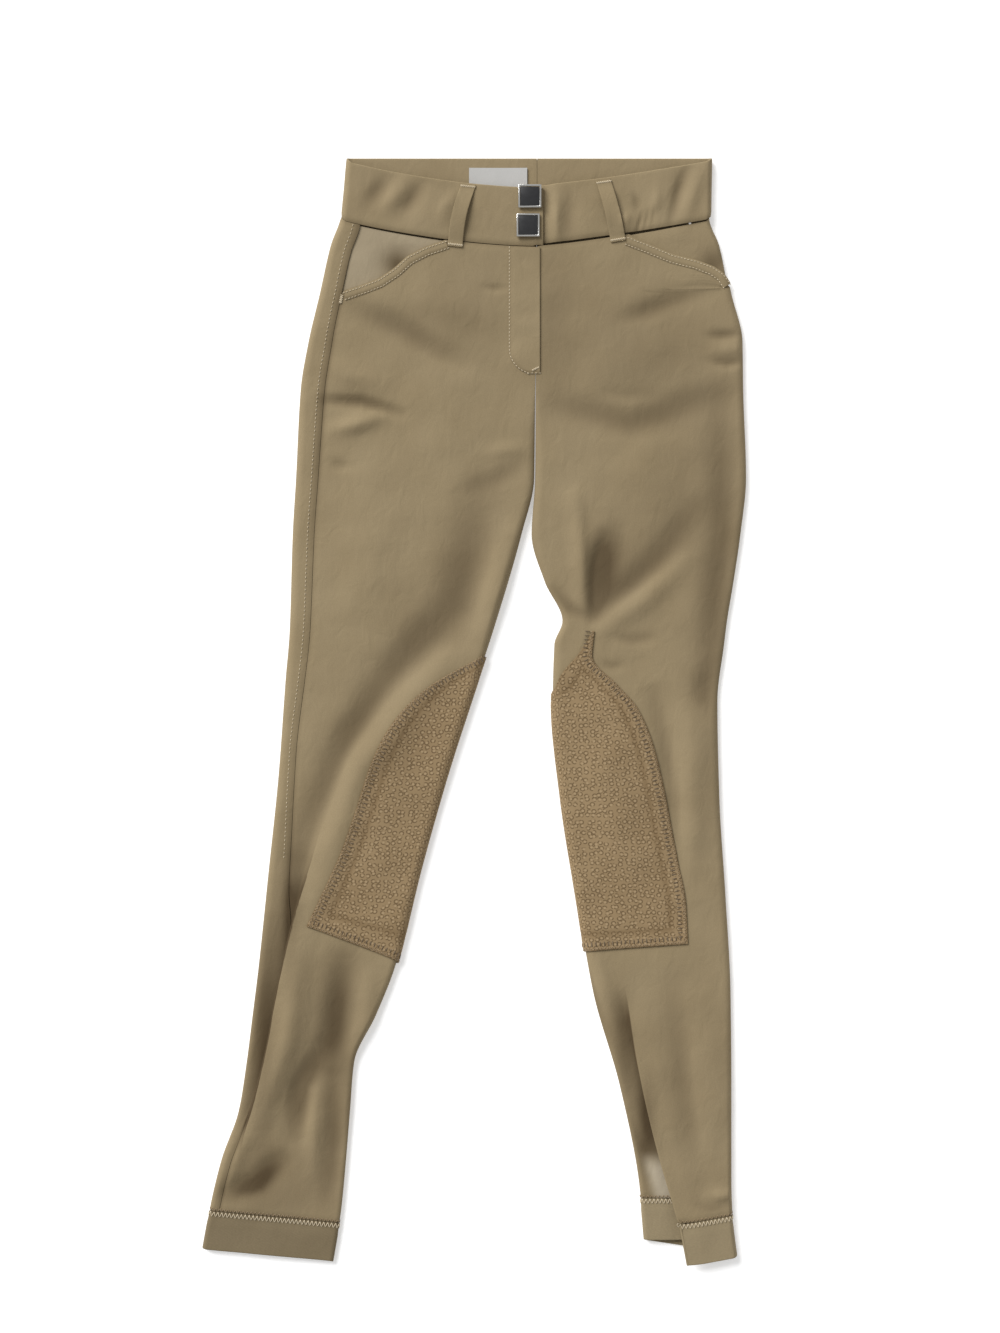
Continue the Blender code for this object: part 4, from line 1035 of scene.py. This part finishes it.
for side in ("right", "left"):
    mouth_level, mouth_g = pocket_mouth(side, 41)
    lap = np.maximum(POCKET_LAP * ease(1.0, 0.7, np.linspace(0, 1, len(mouth_level))), 0.6)
    foot = mouth_level - lap
    share = np.linspace(0, 1, 30)[None, :]
    rows = WAIST_LEVEL - 1.0 + (foot - WAIST_LEVEL + 1.0)[:, None] * share
    g = mouth_g[:, None] + 0 * share
    base = point(side, rows, g)
    gape_x, gape_y, gape_reach, gape_depth = GAPE[side]
    off = np.hypot(base[..., 0] - gape_x, base[..., 1] - gape_y)
    gape = gape_depth * np.exp(-((off / gape_reach) ** 2))
    puff = 0.9 * np.sin(np.pi * share) * np.sin(np.pi * np.linspace(0, 1, len(mouth_g)))[:, None]
    room = np.maximum(base[..., 2] - POCKET_SUNK - FACING_CLOTH - 3.2, 0.0)
    piece = leg_sheet(
        f"twill_pocket_facing_{side}", side, rows, g, FACING_CLOTH, twill,
        lift=np.minimum(puff, 0.6) - POCKET_SUNK - np.minimum(gape, room),
        # Shade is painted into the facing where the mouth gapes
        hollow=0.8 * np.clip(gape / 1.6, 0, 1),
        # The right facing is painted paler than the left away from the gape, a painted highlight
        # on its bulge in the wrong side's tone
        wrong_side=0.34 * (1 - np.clip(gape / 1.6, 0, 1)) * (side == "right"),
    )
    stands_for(f"pocket_facing_{side}")

    line = pocket_line(side, 70)
    way = np.gradient(line, axis=0)
    way /= np.linalg.norm(way, axis=1, keepdims=True)
    square = np.stack([way[:, 1], -way[:, 0]], axis=-1)
    square = square * -np.sign(square[:, 1:])
    inset = np.array([0.5, 0.7, 1.1, 1.8, 3.0, 4.5, 6.0, 7.0, 7.6, 8.1, POCKET_BAND_WIDTH])
    grid = line[:, None, :] + square[:, None, :] * inset[None, :, None]
    level, g = place_of(side, grid[..., 0], grid[..., 1])
    sewn = near(inset - 2.2) * 0.25 + near(inset - 7.6) * 0.25
    full = FACING_CLOTH * (0.25 + 0.75 * ease(POCKET_BAND_WIDTH, 6.0, inset))
    full = full - sewn - 0.5 * rounded(inset - 0.5, 0.6)
    uv = np.stack([grid[..., 0], grid[..., 1]], axis=-1)
    outer = moved_out(side, level, g, BAND_SEAT + full[None, :] + 0 * g)
    inner = moved_out(side, level, g, BAND_SEAT + 0 * g)
    piece = cloth(f"twill_pocket_band_{side}", outer, inner, uv, twill,
                  # A little shade is painted along the band's inner edge
                  hollow=0.12 * near(inset - POCKET_BAND_WIDTH)[None, :] + 0 * g)
    stands_for(f"pocket_band_{side}")

    rows = []
    for sewn_at in (3, 8):
        ups = normal_at(side, level[:, sewn_at], g[:, sewn_at])
        rows.append(running(outer[:, sewn_at] + 0.1 * ups, ups, 2.9))
    thread(f"thread_pocket_{side}", rows, tan_thread)

# ---------------------------------------------------------------------------
# Fly placket. The right front's facing laps over the zip: a free edge towards the left,
# and a J of stitching that holds it down on the right.
# ---------------------------------------------------------------------------
FLY_LEFT, FLY_RIGHT = 29.8, 57.2
FLY_FOOT = 291.5
FLY_CORNER = 22.0


def on_front(x, y, lift):
    """Points over the front's face at x and y, raised by lift."""
    x, y = np.broadcast_arrays(np.asarray(x, float), np.asarray(y, float))
    return np.stack([x, y, top_height(x, y) + lift], axis=-1)


def fly_edge(y):
    """The stitched edge of the placket, bending round to its foot."""
    sunk = np.clip((FLY_FOOT + FLY_CORNER - y) / FLY_CORNER, 0, 0.97)
    return FLY_LEFT + FLY_CORNER * (1 - np.sqrt(1 - sunk**2))


y_top = WAIST_LEVEL + WAIST_DIP - 0.7
share = 1 - (1 - np.linspace(0, 1, 80)) ** 1.5
y = (y_top + (FLY_FOOT - y_top) * share)[:, None]
across = np.array([0, 0.03, 0.08, 0.15, 0.25, 0.4, 0.55, 0.7, 0.82, 0.9, 0.95, 0.98, 0.993, 1.0])
left = fly_edge(y)
x = left + (FLY_RIGHT - left) * across[None, :]
y = y + 0 * x
to_foot = ease(0.0, 3.0, y - FLY_FOOT)
seated = 0.3 + 0.7 * ease(0.0, 5.0, x - left) * to_foot
gathers = 0.22 * np.sin(y / 3.7 + 0.6 * np.sin(y / 9.0)) * np.sin(np.pi * across)[None, :]
full = (TWILL + gathers) * seated - rounded(FLY_RIGHT - x, 0.7) * 0.7
outer = on_front(x, y, SEAM_GAP + full)
piece = cloth("twill_fly_placket", outer, on_front(x, y, SEAM_GAP), np.stack([x, y], axis=-1),
              twill, hollow=0.15 * near(x - left - 1.5))
stands_for("fly_placket")

ups = np.tile([0.0, 0.0, 1.0], (len(y), 1))
j_line = outer[:, 1] + [0, 0, 0.15]
foot_line = outer[-3, 1:] + [0, 0, 0.15]
rows = [running(j_line, ups, 3.0), running(foot_line, ups[: len(foot_line)], 3.0)]
tack_x = np.linspace(FLY_RIGHT - 7.0, FLY_RIGHT - 1.0, 12)
tack = on_front(tack_x, FLY_FOOT + 6.0 + 0.5 * (tack_x - FLY_RIGHT), SEAM_GAP + TWILL + 0.2)
rows.append(zigzag(tack, ups[:12], 0.7, 1.8))
thread("thread_fly", rows, tan_thread)

# ---------------------------------------------------------------------------
# Belt loops. Narrow strips of twill over the waistband, bartacked at both ends. The two
# in front bow away from the band, and three more lie flat on the back.
# ---------------------------------------------------------------------------
LOOP_CLOTH = 1.0
LOOP_HALF_WIDTH = 6.4
LOOP_BOW = 3.0
FRONT_LOOPS = {"right": (-4.6, -16.2), "left": (111.6, 124.6)}
BACK_LOOPS = {"right": -60.0, "centre": 54.0, "left": 168.0}

for side, (top_x, foot_x) in FRONT_LOOPS.items():
    share = np.linspace(0, 1, 34)[:, None]
    middle_x = top_x + (foot_x - top_x) * share
    bend = 2.2 * np.sin(np.pi * share) * (-1 if side == "right" else 0.4)
    aside = np.array([-1, -0.97, -0.88, -0.6, -0.3, 0, 0.3, 0.6, 0.88, 0.97, 1])[None, :]
    x = middle_x + bend + LOOP_HALF_WIDTH * aside
    foot_g = girth_on_top(side, WAIST_LEVEL + 0 * x, x)
    level = WAIST_LEVEL + BAND_HEIGHT - 1.0 - (BAND_HEIGHT + 4.0) * share + 0 * x
    y = level + WAIST_DIP * (1 - (1 - foot_g) ** DIP_POWER[side])
    bow = LOOP_BOW * np.sin(np.pi * np.clip((share - 0.08) / 0.84, 0, 1))
    on_band = np.maximum(folds(x, y, BAND_FOLDS), 0.0) * ease(400.0, 410.0, y)
    edge = rounded((1 - np.abs(aside)) * LOOP_HALF_WIDTH, 0.45)
    outer = on_front(x, y, SEAM_GAP + LOOP_CLOTH + bow + on_band - edge)
    inner = on_front(x, y, SEAM_GAP + bow + on_band + 0.3 * edge)
    piece = cloth(f"twill_belt_loop_front_{side}", outer, inner, np.stack([x, y], axis=-1),
                  twill)
    stands_for(f"belt_loop_front_{side}")
    ups = np.tile([0.0, 0.0, 1.0], (11, 1))
    rows = [zigzag(outer[i] + [0, 0, 0.1], ups, 0.75, 2.0) for i in (1, -2)]
    thread(f"thread_belt_loop_{side}", rows, tan_thread)

for name, x_middle in BACK_LOOPS.items():
    x, y = np.meshgrid(np.linspace(-1, 1, 9), np.linspace(0, 1, 14))
    thin = rounded((1 - np.abs(x)) * LOOP_HALF_WIDTH, 0.4)
    x = x_middle + LOOP_HALF_WIDTH * x
    y = WAIST_LEVEL + 1.0 + (BAND_HEIGHT - 2.0) * y
    piece = cloth(
        f"twill_belt_loop_back_{name}",
        np.stack([x, y, LOOP_CLOTH - 0.5 * thin], axis=-1),
        np.stack([x, y, 0.5 * thin], axis=-1),
        np.stack([x, y], axis=-1), twill,
    )
    stands_for(f"belt_loop_back_{name}")

# ---------------------------------------------------------------------------
# Knee patches. Soft suede with a small printed repeat, sewn over the inner knees with an
# overlock edge. They wrap round the inseam to the underside of the leg.
# ---------------------------------------------------------------------------
PATCH_CLOTH = 1.2
# The left patch comes to a point on the front: its inner edge down to the inner fold
PATCH_POINT = ((69.0, 102.5), (49.0, 90.0), (36.0, 78.5), (24.0, 70.0))
POINT_SPAN = 26.0
PATCH_ACROSS = 64
# How the patch's threads crowd towards its edge, and how late its foot turns to the slant
EDGE_CROWD, CROWD_POWER = 0.4, 1.15
FOOT_BEND = 6
BORDER_INSET = 13.0
LADDER_INSET = 5.4


def ring_group():
    """Small broken rings set close together, each a little out of line."""
    tree = group(
        "ring_print",
        (("Vector", "NodeSocketVector", None), ("Pitch", "NodeSocketFloat", 0.0045)),
        (("Ring", "NodeSocketFloat"), ("Inside", "NodeSocketFloat")),
    )
    enter = node(tree, "NodeGroupInput")
    leave = node(tree, "NodeGroupOutput")
    per = node(tree, "ShaderNodeMath", {0: 1.0, 1: enter.outputs["Pitch"]}, operation="DIVIDE")
    scaled = node(tree, "ShaderNodeVectorMath", {0: enter.outputs["Vector"],
                                                 "Scale": per.outputs[0]}, operation="SCALE")
    cells = node(tree, "ShaderNodeTexVoronoi", {"Vector": scaled.outputs[0], "Scale": 1.0,
                                                "Randomness": 0.55}, voronoi_dimensions="2D")
    off = node(tree, "ShaderNodeMath", {0: cells.outputs["Distance"], 1: 0.36},
               operation="SUBTRACT")
    size = node(tree, "ShaderNodeMath", {0: off.outputs[0]}, operation="ABSOLUTE")
    band = node(tree, "ShaderNodeMapRange", {0: size.outputs[0], 1: 0.03, 2: 0.13, 3: 1.0,
                                             4: 0.0}, interpolation_type="SMOOTHSTEP")
    breaks = node(tree, "ShaderNodeTexNoise", {"Vector": scaled.outputs[0], "Scale": 1.7,
                                               "Detail": 1.0})
    kept = node(tree, "ShaderNodeMapRange", {0: breaks.outputs["Fac"], 1: 0.40, 2: 0.50})
    ring = node(tree, "ShaderNodeMath", {0: band.outputs[0], 1: kept.outputs[0]},
                operation="MULTIPLY")
    inside = node(tree, "ShaderNodeMapRange", {0: cells.outputs["Distance"], 1: 0.12, 2: 0.24,
                                               3: 1.0, 4: 0.0})
    tree.links.new(ring.outputs[0], leave.inputs["Ring"])
    tree.links.new(inside.outputs[0], leave.inputs["Inside"])
    return tree


suede, tree, shader = new_material("grip_suede", {
    "Sheen Weight": 0.35, "Sheen Tint": (0.5, 0.38, 0.22, 1), "Roughness": 0.95,
    "Specular IOR Level": 0.15,
})
uv = node(tree, "ShaderNodeUVMap", uv_map="lengths")
place = node(tree, "ShaderNodeTexCoord")
mottle = placed(tree, MOTTLE, {"Vector": place.outputs["Object"], "Size": 0.035})
printed = placed(tree, ring_group(), {"Vector": uv.outputs["UV"], "Pitch": 0.0046})
base = mixed(tree, mottle.outputs["Fade"], (0.220, 0.150, 0.078, 1), (0.325, 0.233, 0.130, 1))
light = mixed(tree, printed.outputs["Inside"], base.outputs[2], (0.345, 0.252, 0.146, 1))
drawn = node(tree, "ShaderNodeMath", {0: printed.outputs["Ring"], 1: 0.7}, operation="MULTIPLY")
dark = mixed(tree, drawn.outputs[0], light.outputs[2], (0.085, 0.052, 0.024, 1))
edge = node(tree, "ShaderNodeAttribute", attribute_name="hollow")
pressed = node(tree, "ShaderNodeMapRange", {0: edge.outputs["Fac"], 3: 0.0, 4: 0.5})
final = mixed(tree, pressed.outputs[0], dark.outputs[2], (0.13, 0.08, 0.035, 1))
tree.links.new(final.outputs[2], shader.inputs["Base Color"])
relief = node(tree, "ShaderNodeBump", {"Height": printed.outputs["Ring"], "Distance": 0.0004,
                                       "Strength": 0.5}, invert=True)
nap = node(tree, "ShaderNodeTexNoise", {"Vector": place.outputs["Object"], "Scale": 900.0,
                                        "Detail": 2.0})
fine = node(tree, "ShaderNodeBump", {"Height": nap.outputs["Fac"], "Distance": 0.0002,
                                     "Strength": 0.4, "Normal": relief.outputs[0]})
tree.links.new(fine.outputs[0], shader.inputs["Normal"])

brown_thread = thread_material("brown_thread", (0.36, 0.26, 0.14), (0.17, 0.11, 0.05))
dark_thread = thread_material("dark_thread", (0.15, 0.10, 0.05), (0.07, 0.045, 0.02))

for side in ("right", "left"):
    top, corner = PATCH[side][0][0], PATCH_FOOT[side][0]
    foot = PATCH_FOOT[side][1]
    level = np.concatenate([top - np.array([0.0, 0.4, 1.0, 2.0]),
                            np.linspace(top - 4.0, corner + 4.0, 110),
                            corner + np.array([2.5, 1.2, 0.5, 0.0])])
    first = girth_of_x(side, level, smooth(PATCH[side], PATCH_COLUMNS, "x", level))
    first = np.clip(first, 0.2, 0.97)
    last = 1.0 + patch_under(side, level)
    if side == "left":
        tip = smooth(PATCH_POINT, PATCH_COLUMNS, "x", level)
        tip_g = np.maximum(girth_of_x(side, level, tip), first + 0.012)
        reached = ease(PATCH_POINT[-1][0], PATCH_POINT[-1][0] - POINT_SPAN, level)
        last = tip_g + (last - tip_g) * reached
    g = columns_between(side, level, first, last, PATCH_ACROSS, gather=0.0)
    share = np.linspace(0, 1, PATCH_ACROSS)[None, :] ** CROWD_POWER
    g = first[:, None] + (g - first[:, None]) * (EDGE_CROWD + (1 - EDGE_CROWD) * share)
    lean = np.clip((g - first[:, None]) / (1 - first[:, None]), 0, 1)
    down = (top - level[:, None]) / (top - corner)
    rows = level[:, None] + (foot - corner) * lean * down**FOOT_BEND
    width = width_at(side, rows)
    from_side = (g - first[:, None]) * width
    from_foot = (1 - down) * (top - corner)
    from_under = (last[:, None] - g) * width
    from_edge = np.minimum(np.minimum(from_side, from_foot), from_under)
    from_border = from_edge - BORDER_INSET
    thin = rounded(from_edge, 0.5) + 0.3 * near(from_border)
    pressed = 0.9 * near(from_border) + 0.8 * near(from_edge * 1.3)
    piece = leg_sheet(
        f"suede_knee_patch_{side}", side, rows, g, PATCH_CLOTH, suede,
        lift=SEAM_GAP + PATCH_CLOTH, edge=0.6 * thin, hollow=np.clip(pressed, 0, 1),
    )
    stands_for(f"knee_patch_{side}")

    sewing = (("edge", 1.6, zigzag, 1.5, 2.6, brown_thread, THREAD_RADIUS),
              ("ladder", LADDER_INSET, rungs, 3.6, 4.6, dark_thread, 0.5))
    for part, inset, stitch, pitch, reach, spun, radius in sewing:
        down_side = level[level > corner + inset]
        side_g = first[level > corner + inset] + inset / width_at(side, down_side)
        along_foot = np.linspace(first[-1] + inset / width_at(side, corner),
                                 1.0 + patch_under(side, corner), 60)
        foot_lean = np.clip((along_foot - first[-1]) / (1 - first[-1]), 0, 1)
        foot_rows = corner + inset + (foot - corner) * foot_lean
        rows = []
        for run, at_g in ((down_side, side_g), (foot_rows, along_foot)):
            ups = normal_at(side, run, at_g)
            line = moved_out(side, run, at_g, 0 * at_g + SEAM_GAP + PATCH_CLOTH)
            rows.append(stitch(line, ups, pitch, reach))
        thread(f"thread_knee_patch_{part}_{side}", rows, spun, radius)

# ---------------------------------------------------------------------------
# Leg cuffs. Closed bands of doubled stretch knit at the hems, joined to the leg with a
# wide light zigzag.
# ---------------------------------------------------------------------------
CUFF_CLOTH = 1.8
CUFF_PITCH = 1.7
CUFF_STITCH, CUFF_NOTCH = 4.4, 2.6
CUFF_PULL_AT, CUFF_PULL = 6.0, 0.3
CUFF_HEIGHT = {"right": 33.5, "left": 36.3}
HEM_EASE = 1.8
# Shade painted into the cuffs: the right one is painted darker than the left
CUFF_PAINTED_SHADE = {"right": 0.46, "left": 0.02}

knit = cloth_material("cuff_knit", (0.300, 0.240, 0.146), (0.240, 0.188, 0.109), rib=0.0013,
                      rumple=0.0008)
for side in ("right", "left"):
    down = np.concatenate([[0.15, 0.6, 1.5], np.linspace(3.0, CUFF_HEIGHT[side] - 1.5, 18),
                           CUFF_HEIGHT[side] - np.array([0.8, 0.5, 0.25, 0.1, 0.0])])
    level = CUFF_LEVEL[side] - down
    g = columns_between(side, level, 0 * level, 0 * level + 2.0, 190)[:, :-1]
    rows = level[:, None] + 0 * g
    turned = np.mod(g + 1.0, 2.0) - 1.0
    at = girth_of_x(side, level, lip_at(side, level)[0])[:, None]
    if side == "left":
        slack = np.exp(-(((turned - at) / 0.09) ** 2)) * ease(12.0, 0.0, down)[:, None]
        rows = rows - HEM_EASE * slack
    sunk = SEAM_SINK * near(down - 0.15)[:, None]
    pulled = CUFF_PULL * near((down - CUFF_PULL_AT) / 1.4)[:, None]
    piece = leg_sheet(
        f"knit_cuff_{side}", side, rows, g, CUFF_CLOTH, knit, lift=-sunk - pulled,
        edge=rounded(CUFF_HEIGHT[side] - down, 0.8)[:, None] + 0 * g, ring=True,
        hollow=0.3 * near(down - 0.15)[:, None] + CUFF_PAINTED_SHADE[side] + 0 * g,
    )
    stands_for(f"cuff_{side}")

    seam_g = np.linspace(-1.0, 1.0, 400)
    seam_rows = CUFF_LEVEL[side] - 2.6 + 0 * seam_g
    ups = normal_at(side, seam_rows, seam_g)
    seam_line = moved_out(side, seam_rows, seam_g, 0 * seam_g + 0.05)
    stitches = [zigzag(seam_line, ups, CUFF_PITCH, CUFF_STITCH)]
    thread(f"thread_cuff_{side}", stitches, tan_thread, 0.36)
    # Dark brown thread above the zigzag stands in for the shade in the notches between its
    # stitches
    notch_rows = CUFF_LEVEL[side] + 1.4 + 0 * seam_g
    notch_ups = normal_at(side, notch_rows, seam_g)
    notch_line = moved_out(side, notch_rows, seam_g, 0 * seam_g - 0.1)
    notches = [zigzag(notch_line, notch_ups, CUFF_PITCH, CUFF_NOTCH)]
    thread(f"painted_shade_cuff_notches_{side}", notches, brown_thread, 0.3)

# ---------------------------------------------------------------------------
# Outseam. The right one lies on top: a row of pricked stitches beside the seam, with a
# bartack where the pocket ends.
# ---------------------------------------------------------------------------
OUTSEAM_PRICK = 5.0
level = np.linspace(WAIST_LEVEL - 2.0, -126.0, 260)
prick_g = outseam_girth("right", level) - OUTSEAM_PRICK / width_at("right", level)
prick_g = np.maximum(prick_g, 0.02)
ups = normal_at("right", level, prick_g)
prick = moved_out("right", level, prick_g, 0 * prick_g + 0.05)
tack_level = np.linspace(363.0, 355.0, 10)
tack_g = outseam_girth("right", tack_level) + 0.5 / width_at("right", tack_level)
tack_ups = normal_at("right", tack_level, tack_g)
tack = moved_out("right", tack_level, tack_g, 0 * tack_g + 0.1)
thread("thread_outseam_right", [running(prick, ups, 3.6, 0.5), zigzag(tack, tack_ups, 0.7, 3.0)],
       tan_thread)

# ---------------------------------------------------------------------------
# Snaps. Two square caps on the tab: a bright metal frame with a black enamel plate set in
# it. Both are bare.
# ---------------------------------------------------------------------------
SNAP_SIZE = 20.0
SNAP_BAR = 1.6
SNAP_DEPTH = 2.6
PLATE_DEPTH = 1.9
SNAPS = {"upper": (48.2, 444.2), "lower": (46.7, 419.2)}


def hard_finish(name, colour, wear_and_painted_shade, metallic, roughness, coat):
    """A hard shiny surface with fine scuffs in its roughness and tone."""
    material, tree, shader = new_material(name, {"Metallic": metallic, "Coat Weight": coat})
    place = node(tree, "ShaderNodeTexCoord")
    scuff = node(tree, "ShaderNodeTexNoise", {"Vector": place.outputs["Object"],
                                              "Scale": 260.0, "Detail": 4.0})
    tone = mixed(tree, scuff.outputs["Fac"], (*colour, 1), (*wear_and_painted_shade, 1))
    rough = node(tree, "ShaderNodeMapRange", {0: scuff.outputs["Fac"], 3: roughness,
                                              4: roughness + 0.16})
    tree.links.new(tone.outputs[2], shader.inputs["Base Color"])
    tree.links.new(rough.outputs[0], shader.inputs["Roughness"])
    return material


chrome = hard_finish("bright_metal", (0.80, 0.80, 0.78), (0.62, 0.61, 0.58), 1.0, 0.14, 0.0)
enamel = hard_finish("black_enamel", (0.012, 0.012, 0.014), (0.02, 0.02, 0.021), 0.0, 0.24, 0.2)


def settle(name, material, node_name, bevel):
    """Finish the active piece: soften its edges, apply its place, and set it riding."""
    piece = bpy.context.object
    piece.name = name
    edges = piece.modifiers.new("edges", "BEVEL")
    edges.width = bevel
    edges.segments = 3
    bpy.ops.object.modifier_apply(modifier="edges")
    bpy.ops.object.transform_apply(location=True, rotation=True, scale=True)
    piece.data.materials.append(material)
    piece.data.shade_smooth()
    piece.data.set_sharp_from_angle(angle=math.radians(35))
    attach(piece, "root")
    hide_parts(node_name)
    return piece


for which, (snap_x, snap_y) in SNAPS.items():
    reach = np.linspace(-SNAP_SIZE / 2, SNAP_SIZE / 2, 7)
    x, y = np.meshgrid(snap_x + reach, snap_y + reach)
    seat = float(top_height(x, y).max()) + SEAM_GAP
    centre = (snap_x * MM, snap_y * MM)
    bpy.ops.object.select_all(action="DESELECT")
    bpy.ops.mesh.primitive_plane_add(size=SNAP_SIZE * MM, location=(*centre, seat * MM))
    bpy.ops.object.mode_set(mode="EDIT")
    bpy.ops.mesh.inset(thickness=SNAP_BAR * MM)
    bpy.ops.mesh.delete(type="FACE")
    bpy.ops.object.mode_set(mode="OBJECT")
    wall = bpy.context.object.modifiers.new("depth", "SOLIDIFY")
    wall.thickness = SNAP_DEPTH * MM
    wall.offset = 1.0
    bpy.ops.object.modifier_apply(modifier="depth")
    settle(f"snap_frame_{which}_metal", chrome, f"snap_frame_{which}", 0.5 * MM)

    inside = SNAP_SIZE - 2 * SNAP_BAR - 2 * SEAM_GAP
    bpy.ops.object.select_all(action="DESELECT")
    bpy.ops.mesh.primitive_cube_add(
        size=1.0, location=(*centre, (seat + PLATE_DEPTH / 2) * MM),
        scale=(inside * MM, inside * MM, PLATE_DEPTH * MM),
    )
    bpy.ops.object.transform_apply(location=False, rotation=False, scale=True)
    settle(f"snap_plate_{which}_enamel", enamel, f"snap_plate_{which}", 0.3 * MM)

# ---------------------------------------------------------------------------
# Waist label. A bare woven tape, folded under at its ends and sewn inside the back band.
# ---------------------------------------------------------------------------
LABEL_BOX = (-4.3, 46.0, 453.5, 470.0)
LABEL_CLOTH = 0.6
UNDER_LABEL = UNDER_BAND + BAND_CLOTH + SEAM_GAP

tape = cloth_material("label_weave", (0.52, 0.51, 0.49), (0.40, 0.395, 0.38), rib=0.0006,
                      sheen=0.1, rumple=0.0004)
x, y = np.meshgrid(np.linspace(LABEL_BOX[0], LABEL_BOX[1], 30),
                   np.linspace(LABEL_BOX[2], LABEL_BOX[3], 12))
curl = 0.5 * ((x - x.mean()) / (np.ptp(x) / 2)) ** 4 + 0.12 * np.sin(x / 6.0)
piece = cloth(
    "woven_label",
    np.stack([x, y, UNDER_LABEL + LABEL_CLOTH + curl], axis=-1),
    np.stack([x, y, UNDER_LABEL + np.maximum(curl, 0.0)], axis=-1),
    np.stack([x, y], axis=-1), tape,
)
stands_for("label")

# ---------------------------------------------------------------------------
# Studio: a pale floor, soft light from the upper left and a camera straight overhead.
# ---------------------------------------------------------------------------
VIEW_HEIGHT = 1.1557
CAMERA_UP = 2.2
CAMERA_X, CAMERA_Y = 0.0225, 0.0386

floor_paint, _, _ = new_material("pale_floor", {
    "Base Color": (0.93, 0.93, 0.93, 1), "Roughness": 0.9, "Emission Color": (1, 1, 1, 1),
    "Emission Strength": 0.35,
})
bpy.ops.mesh.primitive_plane_add(size=8.0, location=(0, 0, -0.0004))
floor = bpy.context.object
floor.name = "studio_floor"
floor.data.materials.append(floor_paint)

sun = bpy.data.lights.new("soft_key", "SUN")
sun.energy = 3.7
sun.angle = math.radians(38)
key = bpy.data.objects.new("soft_key", sun)
key.rotation_euler = (math.radians(-38), math.radians(-42), 0)
bpy.context.scene.collection.objects.link(key)

world = bpy.data.worlds.new("studio")
world.use_nodes = True
world.node_tree.nodes["Background"].inputs["Color"].default_value = (1, 1, 1, 1)
world.node_tree.nodes["Background"].inputs["Strength"].default_value = 0.42
bpy.context.scene.world = world
bpy.context.scene.view_settings.view_transform = "Standard"

camera_data = bpy.data.cameras.new("overhead")
camera_data.sensor_fit = "VERTICAL"
camera_data.sensor_height = 36.0
camera_data.sensor_width = 36.0
camera_data.lens = 36.0 * CAMERA_UP / VIEW_HEIGHT
camera = bpy.data.objects.new("overhead", camera_data)
camera.location = (CAMERA_X, CAMERA_Y, CAMERA_UP)
bpy.context.scene.collection.objects.link(camera)
bpy.context.scene.camera = camera
